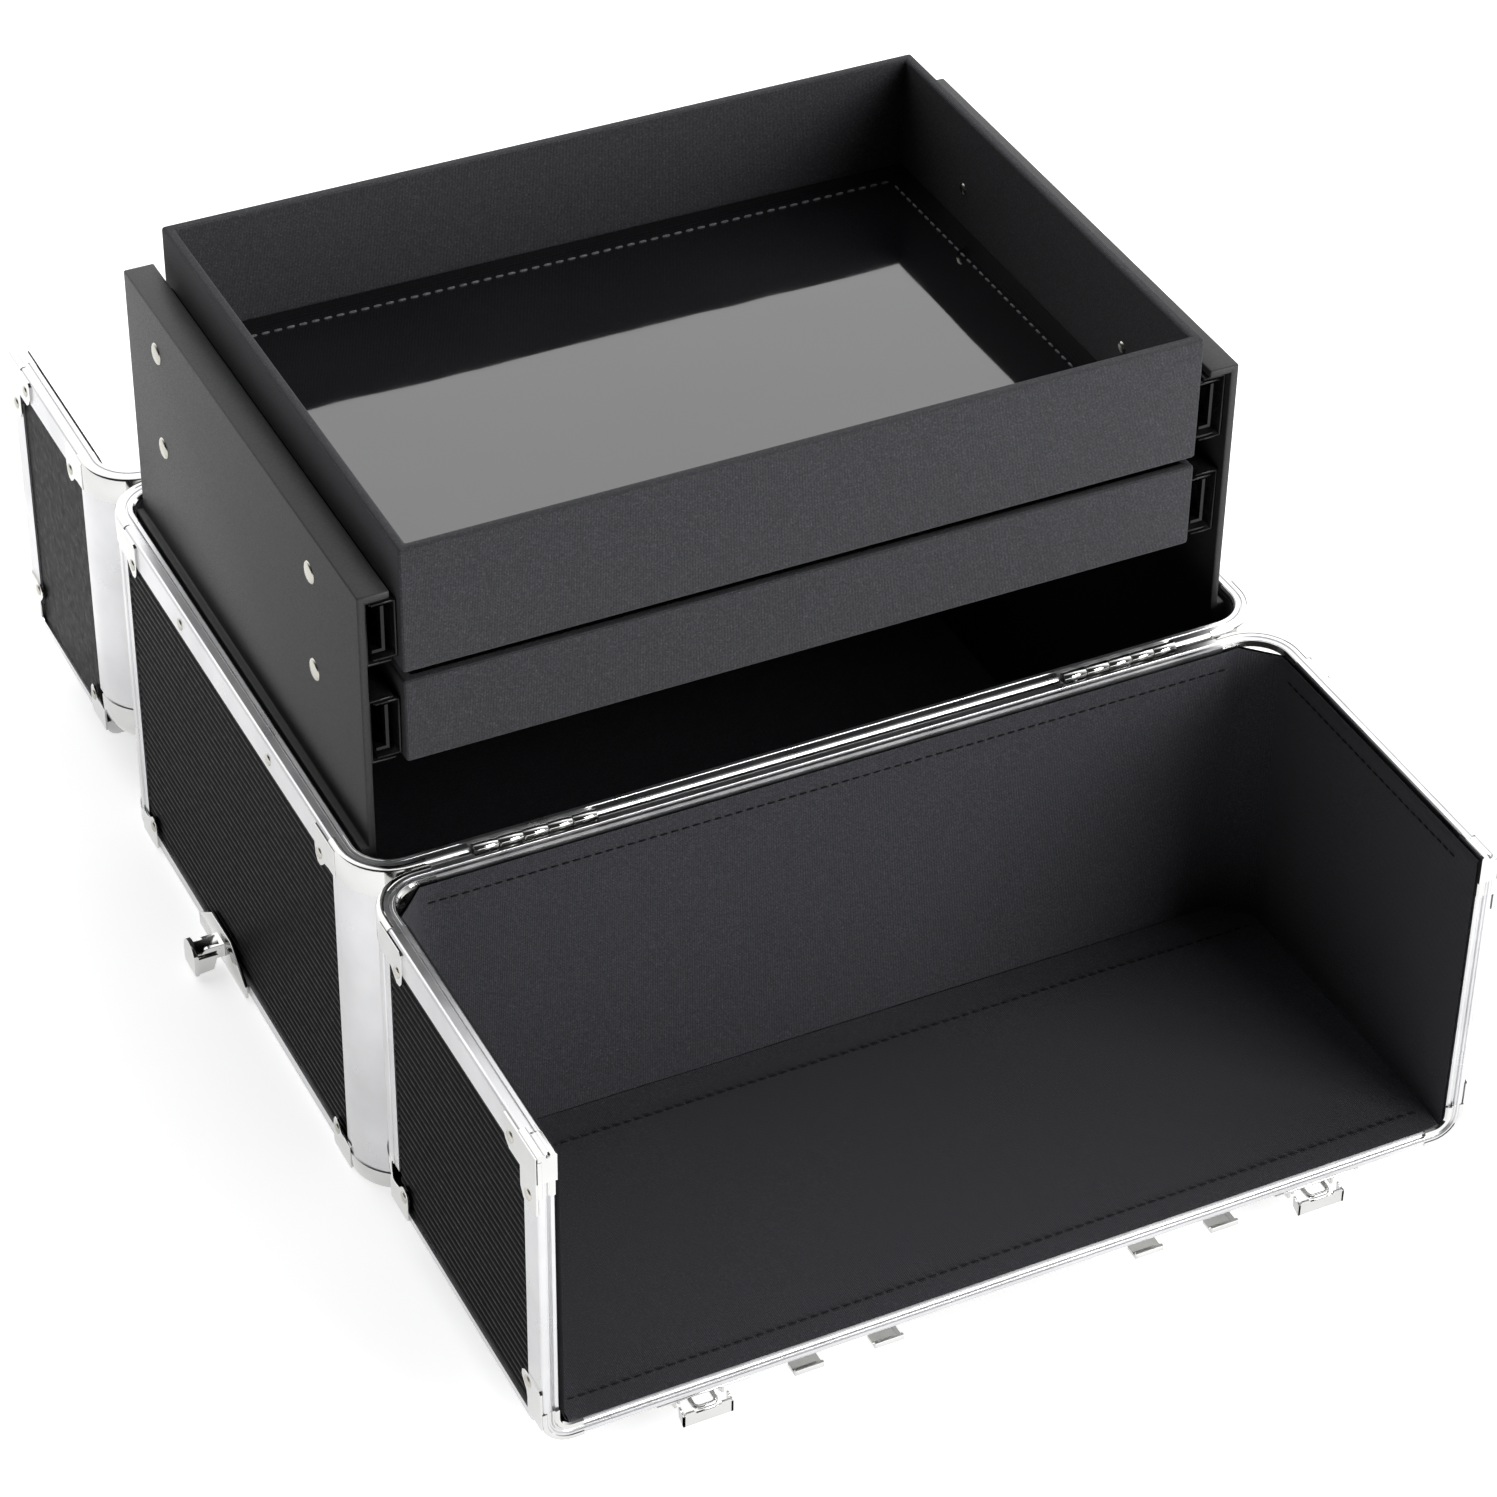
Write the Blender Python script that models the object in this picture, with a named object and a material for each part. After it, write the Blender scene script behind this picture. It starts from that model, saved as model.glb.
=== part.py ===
"""Makeup train case: an aluminium-framed box with two lids that open flat and two sliding trays.

Frame: +X across the width, -Y towards the front lid, +Z up. The origin is the middle of the base's
underside. At rest both lids stand open at 180 degrees and both trays are in.
"""
import math

import bmesh
import bpy
from mathutils import Matrix, Vector

# ---- driving dimensions, metres ----
WIDTH = 0.365
DEPTH = 0.260
BODY_H = 0.151
LID_H = 0.133
FRONT_LID_DEPTH = 0.1513
REAR_LID_DEPTH = 0.1080
WALL = 0.0065  # a wall with its aluminium profile
GAP = 0.0003  # running gap between touching pieces
PROUD = 0.0008  # the frame stands this far out of its panels
CORNER_R = 0.020
POST_W = 0.025  # a corner post's leg along each wall
RIM_H = 0.012
BASE_H = 0.007
EDGE_H = 0.007  # the lid's far edge profile, seen from the side
EDGE_W = 0.012  # and seen square to the lid's top
EDGE_R = 0.005
SPLIT_W = 0.012  # the profile along the line where the lids meet
SPLIT_R = 0.011
FLOOR_T = 0.006

LID_GAP = 0.0016  # between the body's wall and the open lid's wall
CUT_PAST = 0.003  # how far a cutter runs past a face
NOTCH = 0.0017  # the hinge barrel's notch into a wall
CATCH_CUT = 0.02
RIM_GAP = 0.0004  # between the two rims when a lid is shut
HINGE_X = 0.1165
HINGE_L = 0.047
BARREL_R = 0.0020
KNUCKLES = 5
KNUCKLE_GAP = 0.0002
LEAF_T = 0.0005
LEAF_DROP = 0.0095
LEAF_RECESS = 0.0007

BOARD_X = 0.1705  # outer face of a tray rack's side board
BOARD_T = 0.003
BOARD_TOP = 0.254
BOARD_FLANGE = 0.0119  # the board's top turns in over the slides
BOARD_FRONT = -0.1108
BOARD_BACK = 0.1168
FILLER_X = 0.1736  # inside the body the board is packed out to here, clear of the round corners
FILLER_DROP = 0.003  # and the packing stops this far under the rim

TRAY_W = 0.310
TRAY_FRONT = -0.1110
TRAY_BACK = 0.1163
TRAY_WALL = 0.0042
TRAY_FLOOR = 0.003
UPPER_TRAY_Z = (0.218, 0.269)
LOWER_TRAY_Z = (0.180, 0.2145)
WINDOW_T = 0.0006
WINDOW_MARGIN = 0.001

SLIDE_H = 0.027
SLIDE_T = 0.0010
SLIDE_DEPTH = 0.0095
SLIDE_NEST = 0.0006
SLIDE_FRONT = -0.108
SLIDE_BACK = 0.107
UPPER_SLIDE_Z = 0.236
LOWER_SLIDE_Z = 0.1945

LATCH_X = 0.1225
LATCH_PLATE = (0.035, 0.026, 0.0010)
LATCH_PIVOT_IN = 0.006  # from the lid's free edge to the lever's pivot
LATCH_PIVOT_UP = 0.0032  # from the latch plate to the pivot
EAR_X = (0.0072, 0.0082)
EAR_R = 0.0020
LEVER_W = 0.019
LEVER_L = 0.022
LEVER_T = 0.0010
LEVER_TOP = 0.0033  # outer face of the lever above the pivot
LEVER_SKIRT = 0.0024
LEVER_NOSE = 0.0015
LEVER_SLOT_X = 0.0084
LEVER_SLOT_END = 0.008  # the back starts here, behind the slot that the loop passes through
LATCH_PLATE_IN = 0.001  # from the lid's free edge to the plate
LOOP_BEND = 0.003
LOOP_W = 0.0100
LOOP_L = 0.0140
LOOP_WIRE = 0.0008
LOOP_PIVOT_IN = 0.005  # from the lever's pivot to the loop's
KEEPER = (0.018, 0.010, 0.0015)
KEEPER_LIP = (0.003, 0.002, 0.0035)  # in from the keeper's sides, thickness, height
KEEPER_IN = 0.0045  # from the rear lid's free edge to the keeper

HANDLE_X = 0.0675
BRACKET = (0.042, 0.036, 0.0015)
LUG_X = (0.0085, 0.0110)
LUG_Y = 0.0045
LUG_H = 0.0085
HANDLE_DROP = 0.0065  # from the lid's top face to the handle's pivot
HANDLE_ARM_W = 0.011
HANDLE_T = 0.0080
HANDLE_REACH = 0.040
HANDLE_GRIP_W = 0.018
HANDLE_BEND = 0.008

CATCH_Y = 0.020
CATCH_PLATE = (0.050, 0.017, 0.0012)
CATCH_BOSS = 0.008
CATCH_PIVOT_OUT = 0.0078
CATCH_PIVOT_Z = 0.0088
CATCH_CHEEK = 0.0020
CATCH_FACE = (0.0048, 0.0066)  # the lever's outer face, from the pivot
CATCH_LOW = 0.0076
CATCH_HIGH = 0.0060
CATCH_ROUND = 0.0050
CATCH_EDGE = 0.001
CATCH_FOOT = 0.0004  # under the plate
CATCH_EAR_H = 0.006
CATCH_CREST = 0.010  # half the plate's full-height part
BOSS_R = 0.003

ARC_STEPS = 6
LID_AXIS_Z = BODY_H + RIM_GAP / 2


def clear_scene():
    for old in list(bpy.data.objects):
        bpy.data.objects.remove(old, do_unlink=True)


def material(name, colour, roughness, metallic):
    """A Principled material in one colour."""
    made = bpy.data.materials.new(name)
    made.use_nodes = True
    shader = made.node_tree.nodes["Principled BSDF"]
    shader.inputs["Base Color"].default_value = (*colour, 1.0)
    shader.inputs["Roughness"].default_value = roughness
    shader.inputs["Metallic"].default_value = metallic
    return made


def place(name, bm, mat, at=(0, 0, 0), turn=(0, 0, 0), parent=None):
    """Turn a bmesh into a named object, placed by its location and rotation."""
    bmesh.ops.recalc_face_normals(bm, faces=bm.faces[:])
    mesh = bpy.data.meshes.new(name)
    bm.to_mesh(mesh)
    bm.free()
    obj = bpy.data.objects.new(name, mesh)
    bpy.context.collection.objects.link(obj)
    obj.location = at
    obj.rotation_euler = turn
    obj.parent = parent
    if mat is None:
        obj.hide_render = True
        obj.display_type = "WIRE"
    else:
        mesh.materials.append(mat)
        mesh.shade_smooth()
        mesh.set_sharp_from_angle(angle=math.radians(30))
    return obj


def empty(name, at, turn=(0, 0, 0), parent=None):
    """An axis that the pieces of one moving body hang from."""
    obj = bpy.data.objects.new(name, None)
    obj.empty_display_size = 0.02
    bpy.context.collection.objects.link(obj)
    obj.location = at
    obj.rotation_euler = turn
    obj.parent = parent
    return obj


def boolean(obj, other, operation="DIFFERENCE"):
    step = obj.modifiers.new(f"{operation.lower()}_{other.name}", "BOOLEAN")
    step.operation = operation
    step.solver = "EXACT"
    step.object = other


def block(low, high):
    """A box between two corners."""
    bm = bmesh.new()
    low, high = Vector(low), Vector(high)
    bmesh.ops.create_cube(bm, size=1.0)
    bmesh.ops.scale(bm, vec=high - low, verts=bm.verts)
    bmesh.ops.translate(bm, vec=(low + high) / 2, verts=bm.verts)
    return bm


def centred_block(size):
    half = Vector(size) / 2
    return block(-half, half)


def cutter(name, low, high, parent=None):
    return place(name, block(low, high), None, parent=parent)


def prism(outline, low, high, axis="Z"):
    """A closed outline extruded from low to high along one axis.

    The outline's two numbers run along the other two axes, in X, Y, Z order.
    """
    turn = {
        "X": Matrix(((0, 0, 1), (1, 0, 0), (0, 1, 0))),
        "Y": Matrix(((1, 0, 0), (0, 0, 1), (0, 1, 0))),
        "Z": Matrix.Identity(3),
    }[axis]
    bm = bmesh.new()
    face = bm.faces.new([bm.verts.new(turn @ Vector((u, v, low))) for u, v in outline])
    grown = bmesh.ops.extrude_face_region(bm, geom=[face])["geom"]
    moved = [item for item in grown if isinstance(item, bmesh.types.BMVert)]
    bmesh.ops.translate(bm, vec=turn @ Vector((0, 0, high - low)), verts=moved)
    return bm


def arc(centre, radius, start, end, steps=ARC_STEPS):
    """Points on an arc, angles in degrees."""
    out = []
    for i in range(steps + 1):
        a = math.radians(start + (end - start) * i / steps)
        out.append((centre[0] + radius * math.cos(a), centre[1] + radius * math.sin(a)))
    return out


def rounded_loop(half_x, half_y, radius, inset=0.0):
    """A rounded rectangle about the origin, with the same points at any inset."""
    cx, cy, r = half_x - radius, half_y - radius, radius - inset
    corners = ((cx, cy, 0), (-cx, cy, 90), (-cx, -cy, 180), (cx, -cy, 270))
    return [p for x, y, a in corners for p in arc((x, y), r, a, a + 90)]


def strip(outer, inner, low, high, closed):
    """A wall between two matching lines, extruded along Z."""
    bm = bmesh.new()
    a = [bm.verts.new((x, y, low)) for x, y in outer]
    b = [bm.verts.new((x, y, low)) for x, y in inner]
    count = len(a)
    for i in range(count if closed else count - 1):
        j = (i + 1) % count
        bm.faces.new((a[i], a[j], b[j], b[i]))
    grown = bmesh.ops.extrude_face_region(bm, geom=bm.faces[:])["geom"]
    moved = [item for item in grown if isinstance(item, bmesh.types.BMVert)]
    bmesh.ops.translate(bm, vec=(0, 0, high - low), verts=moved)
    return bm


def plate_with_bosses(size, bosses):
    """A plate on Z = 0, centred in X and Y, with rectangular bosses (x0, x1, y0, y1, height)."""
    half_x, half_y, thick = size[0] / 2, size[1] / 2, size[2]
    xs = sorted({-half_x, half_x, *(v for b in bosses for v in b[:2])})
    ys = sorted({-half_y, half_y, *(v for b in bosses for v in b[2:4])})
    bm = bmesh.new()
    grid = [[bm.verts.new((x, y, 0)) for y in ys] for x in xs]
    for i in range(len(xs) - 1):
        for j in range(len(ys) - 1):
            bm.faces.new((grid[i][j], grid[i + 1][j], grid[i + 1][j + 1], grid[i][j + 1]))
    raise_faces(bm, bm.faces[:], thick, keep=True)
    for x0, x1, y0, y1, height in bosses:
        inside = [f for f in bm.faces if on_top(f, thick) and within(f, x0, x1, y0, y1)]
        raise_faces(bm, inside, height)
    return bm


def on_top(face, height):
    return all(abs(v.co.z - height) < 1e-7 for v in face.verts)


def within(face, x0, x1, y0, y1):
    middle = face.calc_center_median()
    return x0 < middle.x < x1 and y0 < middle.y < y1


def raise_faces(bm, faces, height, keep=False):
    """Extrude faces along Z. The old faces stay only as the underside of an open sheet."""
    grown = bmesh.ops.extrude_face_region(bm, geom=faces)["geom"]
    moved = [item for item in grown if isinstance(item, bmesh.types.BMVert)]
    bmesh.ops.translate(bm, vec=(0, 0, height), verts=moved)
    if not keep:
        bmesh.ops.delete(bm, geom=[f for f in faces if f.is_valid], context="FACES")


def tray_shell(size, wall, floor):
    """An open-topped tray, its underside on Z = 0."""
    bm = block((-size[0] / 2, -size[1] / 2, 0), (size[0] / 2, size[1] / 2, size[2]))
    top = [f for f in bm.faces if on_top(f, size[2])]
    bmesh.ops.inset_region(bm, faces=top, thickness=wall, use_even_offset=True)
    raise_faces(bm, top, floor - size[2])
    return bm


# ---- hinges ----


def hinge_leaf(name, mat, at, tail, first, parent):
    """Every second knuckle of a hinge, with the leaf that drops from them on the tail side."""
    pitch = HINGE_L / KNUCKLES
    low = LID_GAP / 2 + LEAF_RECESS - LEAF_T - 0.0001
    bm = block(
        (-HINGE_L / 2, tail * low, -LEAF_DROP),
        (HINGE_L / 2, tail * (low + LEAF_T), -BARREL_R - GAP),
    )
    leaf = place(name, bm, mat, at, parent=parent)
    for k in range(first, KNUCKLES, 2):
        x0 = -HINGE_L / 2 + k * pitch + KNUCKLE_GAP
        x1 = -HINGE_L / 2 + (k + 1) * pitch - KNUCKLE_GAP
        finger = block((x0, tail * low, -LEAF_DROP / 2), (x1, tail * (low + LEAF_T), -BARREL_R / 4))
        knuckle = prism(arc((0, 0), BARREL_R, 0, 345, 23), x0, x1, "X")
        for label, shape in (("finger", finger), ("knuckle", knuckle)):
            piece = place(f"{name}_{label}_{k}", shape, None, at, parent=parent)
            boolean(leaf, piece, "UNION")
    return leaf


# ---- body ----


def body_frame(mats):
    half_x, half_y = WIDTH / 2, DEPTH / 2
    outer = rounded_loop(half_x, half_y, CORNER_R)
    inner = rounded_loop(half_x, half_y, CORNER_R, WALL)
    rim = place("body_rim", strip(outer, inner, -RIM_H, 0, True), mats["aluminium"], (0, 0, BODY_H))
    for side in (-1, 1):
        for x in (-HINGE_X, HINGE_X):
            # the wall's outer face is at side * half_y and the wall lies inwards of it
            recess = hinge_cutters(x, side * half_y, -side, BODY_H, f"body_{side}")
            for cut in recess:
                boolean(rim, cut)
    place("body_base_frame", strip(outer, inner, 0, BASE_H, True), mats["aluminium"])
    low, high = BASE_H + GAP, BODY_H - RIM_H - GAP
    for name, sx, sy, start in (
        ("rear_right", 1, 1, 0),
        ("rear_left", -1, 1, 90),
        ("front_left", -1, -1, 180),
        ("front_right", 1, -1, 270),
    ):
        centre = (sx * (half_x - CORNER_R), sy * (half_y - CORNER_R))
        outer = post_line(centre, CORNER_R, start)
        inner = post_line(centre, CORNER_R - WALL, start)
        bm = strip(outer, inner, 0, high - low, False)
        place(f"body_post_{name}", bm, mats["aluminium"], (0, 0, low))


def post_line(centre, radius, start):
    """A quarter arc with a straight leg at each end."""
    leg = POST_W - CORNER_R
    points = arc(centre, radius, start, start + 90)
    a, b = math.radians(start), math.radians(start + 90)
    first = (points[0][0] + leg * math.sin(a), points[0][1] - leg * math.cos(a))
    last = (points[-1][0] - leg * math.sin(b), points[-1][1] + leg * math.cos(b))
    return [first, *points, last]


def hinge_cutters(x, face_y, inward, top, label, parent=None):
    """Boxes for a hinge's barrel notch and leaf pocket in a wall whose outer face is at face_y."""
    half = HINGE_L / 2 + GAP
    out = []
    for kind, into, drop in (("notch", NOTCH, BARREL_R + GAP), ("pocket", LEAF_RECESS, LEAF_DROP + GAP)):
        ys = sorted((face_y + inward * into, face_y - inward * CUT_PAST))
        low = (x - half, ys[0], top - drop)
        high = (x + half, ys[1], top + CUT_PAST)
        out.append(cutter(f"cut_{kind}_{label}_{'left' if x < 0 else 'right'}", low, high, parent))
    return out


def body_panels(mats):
    thick = WALL - PROUD
    low, high = BASE_H + GAP, BODY_H - RIM_H - GAP
    mid_z = (low + high) / 2
    for name, side in (("front", -1), ("back", 1)):
        size = (WIDTH - 2 * (POST_W + GAP), thick, high - low)
        at = (0, side * (DEPTH / 2 - PROUD - thick / 2), mid_z)
        place(f"body_{name}_panel", centred_block(size), mats["panel"], at)
    for name, side in (("left", -1), ("right", 1)):
        size = (thick, DEPTH - 2 * (POST_W + GAP), high - low)
        at = (side * (WIDTH / 2 - PROUD - thick / 2), 0, mid_z)
        place(f"body_{name}_panel", centred_block(size), mats["panel"], at)
    inner = rounded_loop(WIDTH / 2, DEPTH / 2, CORNER_R, WALL + GAP)
    place("body_floor", prism(inner, 0, FLOOR_T), mats["lining"])


def tray_rack(mats):
    """The two side boards with their slides."""
    for name, side in (("left", -1), ("right", 1)):
        outline = [
            (side * x, z)
            for x, z in (
                (BOARD_X - BOARD_FLANGE, BOARD_TOP),
                (BOARD_X, BOARD_TOP),
                (BOARD_X, BODY_H - FILLER_DROP),
                (FILLER_X, BODY_H - FILLER_DROP),
                (FILLER_X, FLOOR_T + GAP),
                (BOARD_X - BOARD_T, FLOOR_T + GAP),
                (BOARD_X - BOARD_T, BOARD_TOP - BOARD_T),
                (BOARD_X - BOARD_FLANGE, BOARD_TOP - BOARD_T),
            )
        ]
        place(f"rack_board_{name}", prism(outline, BOARD_FRONT, BOARD_BACK, "Y"), mats["board"])
        for tier, z in (("upper", UPPER_SLIDE_Z), ("lower", LOWER_SLIDE_Z)):
            x = side * (BOARD_X - BOARD_T - GAP)
            bm = channel(-side, SLIDE_DEPTH, SLIDE_H, SLIDE_T)
            place(f"slide_outer_{tier}_{name}", bm, mats["slide"], (x, 0, z))


def channel(direction, depth, height, thick):
    """A C section along Y, its web on X = 0 and its flanges pointing to +X or -X."""
    h = height / 2
    outline = [
        (direction * x, z)
        for x, z in (
            (0, -h),
            (depth, -h),
            (depth, thick - h),
            (thick, thick - h),
            (thick, h - thick),
            (depth, h - thick),
            (depth, h),
            (0, h),
        )
    ]
    return prism(outline, SLIDE_FRONT, SLIDE_BACK, "Y")


def trays(mats):
    depth = TRAY_BACK - TRAY_FRONT
    mid_y = (TRAY_FRONT + TRAY_BACK) / 2
    tiers = (("upper", UPPER_TRAY_Z, UPPER_SLIDE_Z), ("lower", LOWER_TRAY_Z, LOWER_SLIDE_Z))
    for tier, (low, high), slide_z in tiers:
        axis = empty(f"{tier}_tray_axis", (0, mid_y, low))
        bm = tray_shell((TRAY_W, depth, high - low), TRAY_WALL, TRAY_FLOOR)
        place(f"{tier}_tray", bm, mats["tray"], parent=axis)
        for name, side in (("left", -1), ("right", 1)):
            height = SLIDE_H - 2 * (SLIDE_T + SLIDE_NEST)
            bm = channel(side, SLIDE_DEPTH - GAP, height, SLIDE_T)
            at = (side * (TRAY_W / 2 + GAP), -mid_y, slide_z - low)
            place(f"slide_inner_{tier}_{name}", bm, mats["slide"], at, parent=axis)
        if tier == "upper":
            margin = 2 * (TRAY_WALL + WINDOW_MARGIN)
            size = (TRAY_W - margin, depth - margin, WINDOW_T)
            at = (0, 0, TRAY_FLOOR + GAP + WINDOW_T / 2)
            place("tray_liner_sheet", centred_block(size), mats["clear"], at, parent=axis)


def hinges_on_body(mats):
    for end, side in (("front", -1), ("rear", 1)):
        for name, x in (("left", -HINGE_X), ("right", HINGE_X)):
            at = (x, side * (DEPTH / 2 + LID_GAP / 2), LID_AXIS_Z)
            hinge_leaf(f"hinge_{end}_{name}_body_leaf", mats["chrome"], at, -side, 0, None)


def side_catches(mats):
    """A riveted plate with a boss at the foot of each end, and the lever that swings on the boss."""
    ear = CATCH_PLATE[0] / 2
    top = CATCH_PLATE[1]
    outline = [
        (-ear, CATCH_FOOT),
        (ear, CATCH_FOOT),
        (ear, CATCH_EAR_H),
        (CATCH_CREST, top),
        (-CATCH_CREST, top),
        (-ear, CATCH_EAR_H),
    ]
    for name, side in (("left", -1), ("right", 1)):
        face = side * (WIDTH / 2 + GAP)
        plate = prism(outline, *sorted((0, side * CATCH_PLATE[2])), "X")
        plate = place(f"side_catch_plate_{name}", plate, mats["chrome"], (face, CATCH_Y, 0))
        boss = prism(boss_outline(side), -CATCH_BOSS / 2, CATCH_BOSS / 2, "Y")
        boss = place(f"side_catch_boss_{name}", boss, None, (face, CATCH_Y, 0))
        boolean(plate, boss, "UNION")
        axis = empty(f"side_catch_axis_{name}", (face + side * CATCH_PIVOT_OUT, CATCH_Y, CATCH_PIVOT_Z))
        lever = place(f"side_catch_lever_{name}", catch_lever(side), mats["chrome"], parent=axis)
        half = CATCH_BOSS / 2 + GAP
        slot = sorted((-side * CATCH_CUT, side * CATCH_FACE[0]))
        low = (slot[0], -half, -CATCH_CUT)
        high = (slot[1], half, CATCH_CUT)
        boolean(lever, cutter(f"cut_catch_{name}", low, high, axis))


def boss_outline(side):
    """The boss from the side: it leaves the plate and ends in a round nose about the pivot."""
    foot = CATCH_PLATE[2] / 2
    nose = arc((CATCH_PIVOT_OUT, CATCH_PIVOT_Z), BOSS_R, -90, 90, 8)
    line = [(foot, CATCH_PIVOT_Z - BOSS_R), *nose, (foot, CATCH_PIVOT_Z + BOSS_R)]
    return [(side * u, v) for u, v in line]


def catch_lever(side):
    """A block with a round back about its pivot and a flat outer face."""
    half = CATCH_BOSS / 2 + GAP + CATCH_CHEEK
    out = CATCH_FACE[1]
    line = [
        (0, -CATCH_ROUND),
        (out - CATCH_EDGE, -CATCH_LOW),
        (out, -CATCH_LOW + CATCH_EDGE),
        (out, CATCH_HIGH - CATCH_EDGE),
        (out - CATCH_EDGE, CATCH_HIGH),
        (0, CATCH_ROUND),
    ]
    line += arc((0, 0), CATCH_ROUND, 90, 270, 8)[1:-1]
    return prism([(side * u, v) for u, v in line], -half, half, "Y")


# ---- lids: local frame with the hinge axis on X, the open lid towards -Y and below Z = 0 ----


def lid(prefix, depth, axis, mats):
    top = -RIM_GAP / 2
    bottom = top - LID_H
    wall_y = -LID_GAP / 2
    free_y = wall_y - depth
    frame_end = free_y + SPLIT_W + GAP
    half = WIDTH / 2
    lid_frame(prefix, wall_y, frame_end, bottom, top, axis, mats)
    split_frame(prefix, free_y, bottom, top, axis, mats)
    thick = WALL - PROUD
    low, high = bottom + EDGE_H + GAP, top - RIM_H - GAP
    post = POST_W + GAP
    bm = block((-half + post, wall_y - PROUD - thick, low), (half - post, wall_y - PROUD, high))
    place(f"{prefix}_lid_wall_panel", bm, mats["panel"], parent=axis)
    for name, side in (("left", -1), ("right", 1)):
        xs = sorted((side * (half - PROUD), side * (half - WALL)))
        bm = block((xs[0], frame_end + GAP, low), (xs[1], wall_y - post, high))
        place(f"{prefix}_lid_{name}_panel", bm, mats["panel"], parent=axis)
    edge = EDGE_W + GAP
    bm = block((-half + edge, frame_end + GAP, bottom + PROUD), (half - edge, wall_y - edge, bottom + WALL))
    place(f"{prefix}_lid_top_panel", bm, mats["panel"], parent=axis)


def lid_outline(wall_y, end_y, inset):
    """Half a rounded rectangle: the two hinge-side corners are round and the other side is open."""
    half, r = WIDTH / 2, CORNER_R
    left = arc((-half + r, wall_y - r), r - inset, 180, 90)
    right = arc((half - r, wall_y - r), r - inset, 90, 0)
    return [(-half + inset, end_y), *left, *right, (half - inset, end_y)]


def lid_frame(prefix, wall_y, end_y, bottom, top, axis, mats):
    """The aluminium frame: a bevelled block, hollowed, with a window for each panel."""
    outer = prism(lid_outline(wall_y, end_y, 0), bottom, top)
    low_edges = [
        e
        for e in outer.edges
        if all(abs(v.co.z - bottom) < 1e-7 for v in e.verts)
        and not all(abs(v.co.y - end_y) < 1e-7 for v in e.verts)
    ]
    bmesh.ops.bevel(outer, geom=low_edges, offset=EDGE_R, segments=2, profile=0.5, affect="EDGES")
    frame = place(f"{prefix}_lid_frame", outer, mats["aluminium"], parent=axis)
    hollow = prism(lid_outline(wall_y, end_y - 0.01, WALL), bottom + WALL, top + 0.01)
    boolean(frame, place(f"cut_hollow_{prefix}", hollow, None, parent=axis))
    half = WIDTH / 2
    out = half + 0.01
    low, high = bottom + EDGE_H, top - RIM_H
    windows = {
        "wall": ((-half + POST_W, wall_y - 0.01, low), (half - POST_W, wall_y + 0.01, high)),
        "ends": ((-out, end_y - 0.01, low), (out, wall_y - POST_W, high)),
        "top": (
            (-half + EDGE_W, end_y - 0.01, bottom - 0.01),
            (half - EDGE_W, wall_y - EDGE_W, bottom + 0.01),
        ),
    }
    for name, (low_corner, high_corner) in windows.items():
        boolean(frame, cutter(f"cut_{name}_{prefix}", low_corner, high_corner, axis))
    for x in (-HINGE_X, HINGE_X):
        for cut in hinge_cutters(x, wall_y, -1, 0, f"{prefix}_lid", axis):
            boolean(frame, cut)


def split_frame(prefix, free_y, bottom, top, axis, mats):
    """The profile round the lid's free edge, a U with two round corners."""
    half, r = WIDTH / 2, SPLIT_R

    def line(inset):
        left = arc((-half + r, bottom + r), r - inset, 180, 270)
        right = arc((half - r, bottom + r), r - inset, 270, 360)
        return [(-half + inset, top), *left, *right, (half - inset, top)]

    bm = strip(line(0), line(WALL), 0, SPLIT_W, False)
    # the strip is made in X and Y and stands up about X
    at = (0, free_y + SPLIT_W, 0)
    place(f"{prefix}_lid_split_frame", bm, mats["aluminium"], at, (math.pi / 2, 0, 0), axis)


def lid_leaves(end, axis, mats):
    for name, x in (("left", -HINGE_X), ("right", HINGE_X)):
        at = (x if end == "front" else -x, 0, 0)
        hinge_leaf(f"hinge_{end}_{name}_lid_leaf", mats["chrome"], at, -1, 1, axis)


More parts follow.
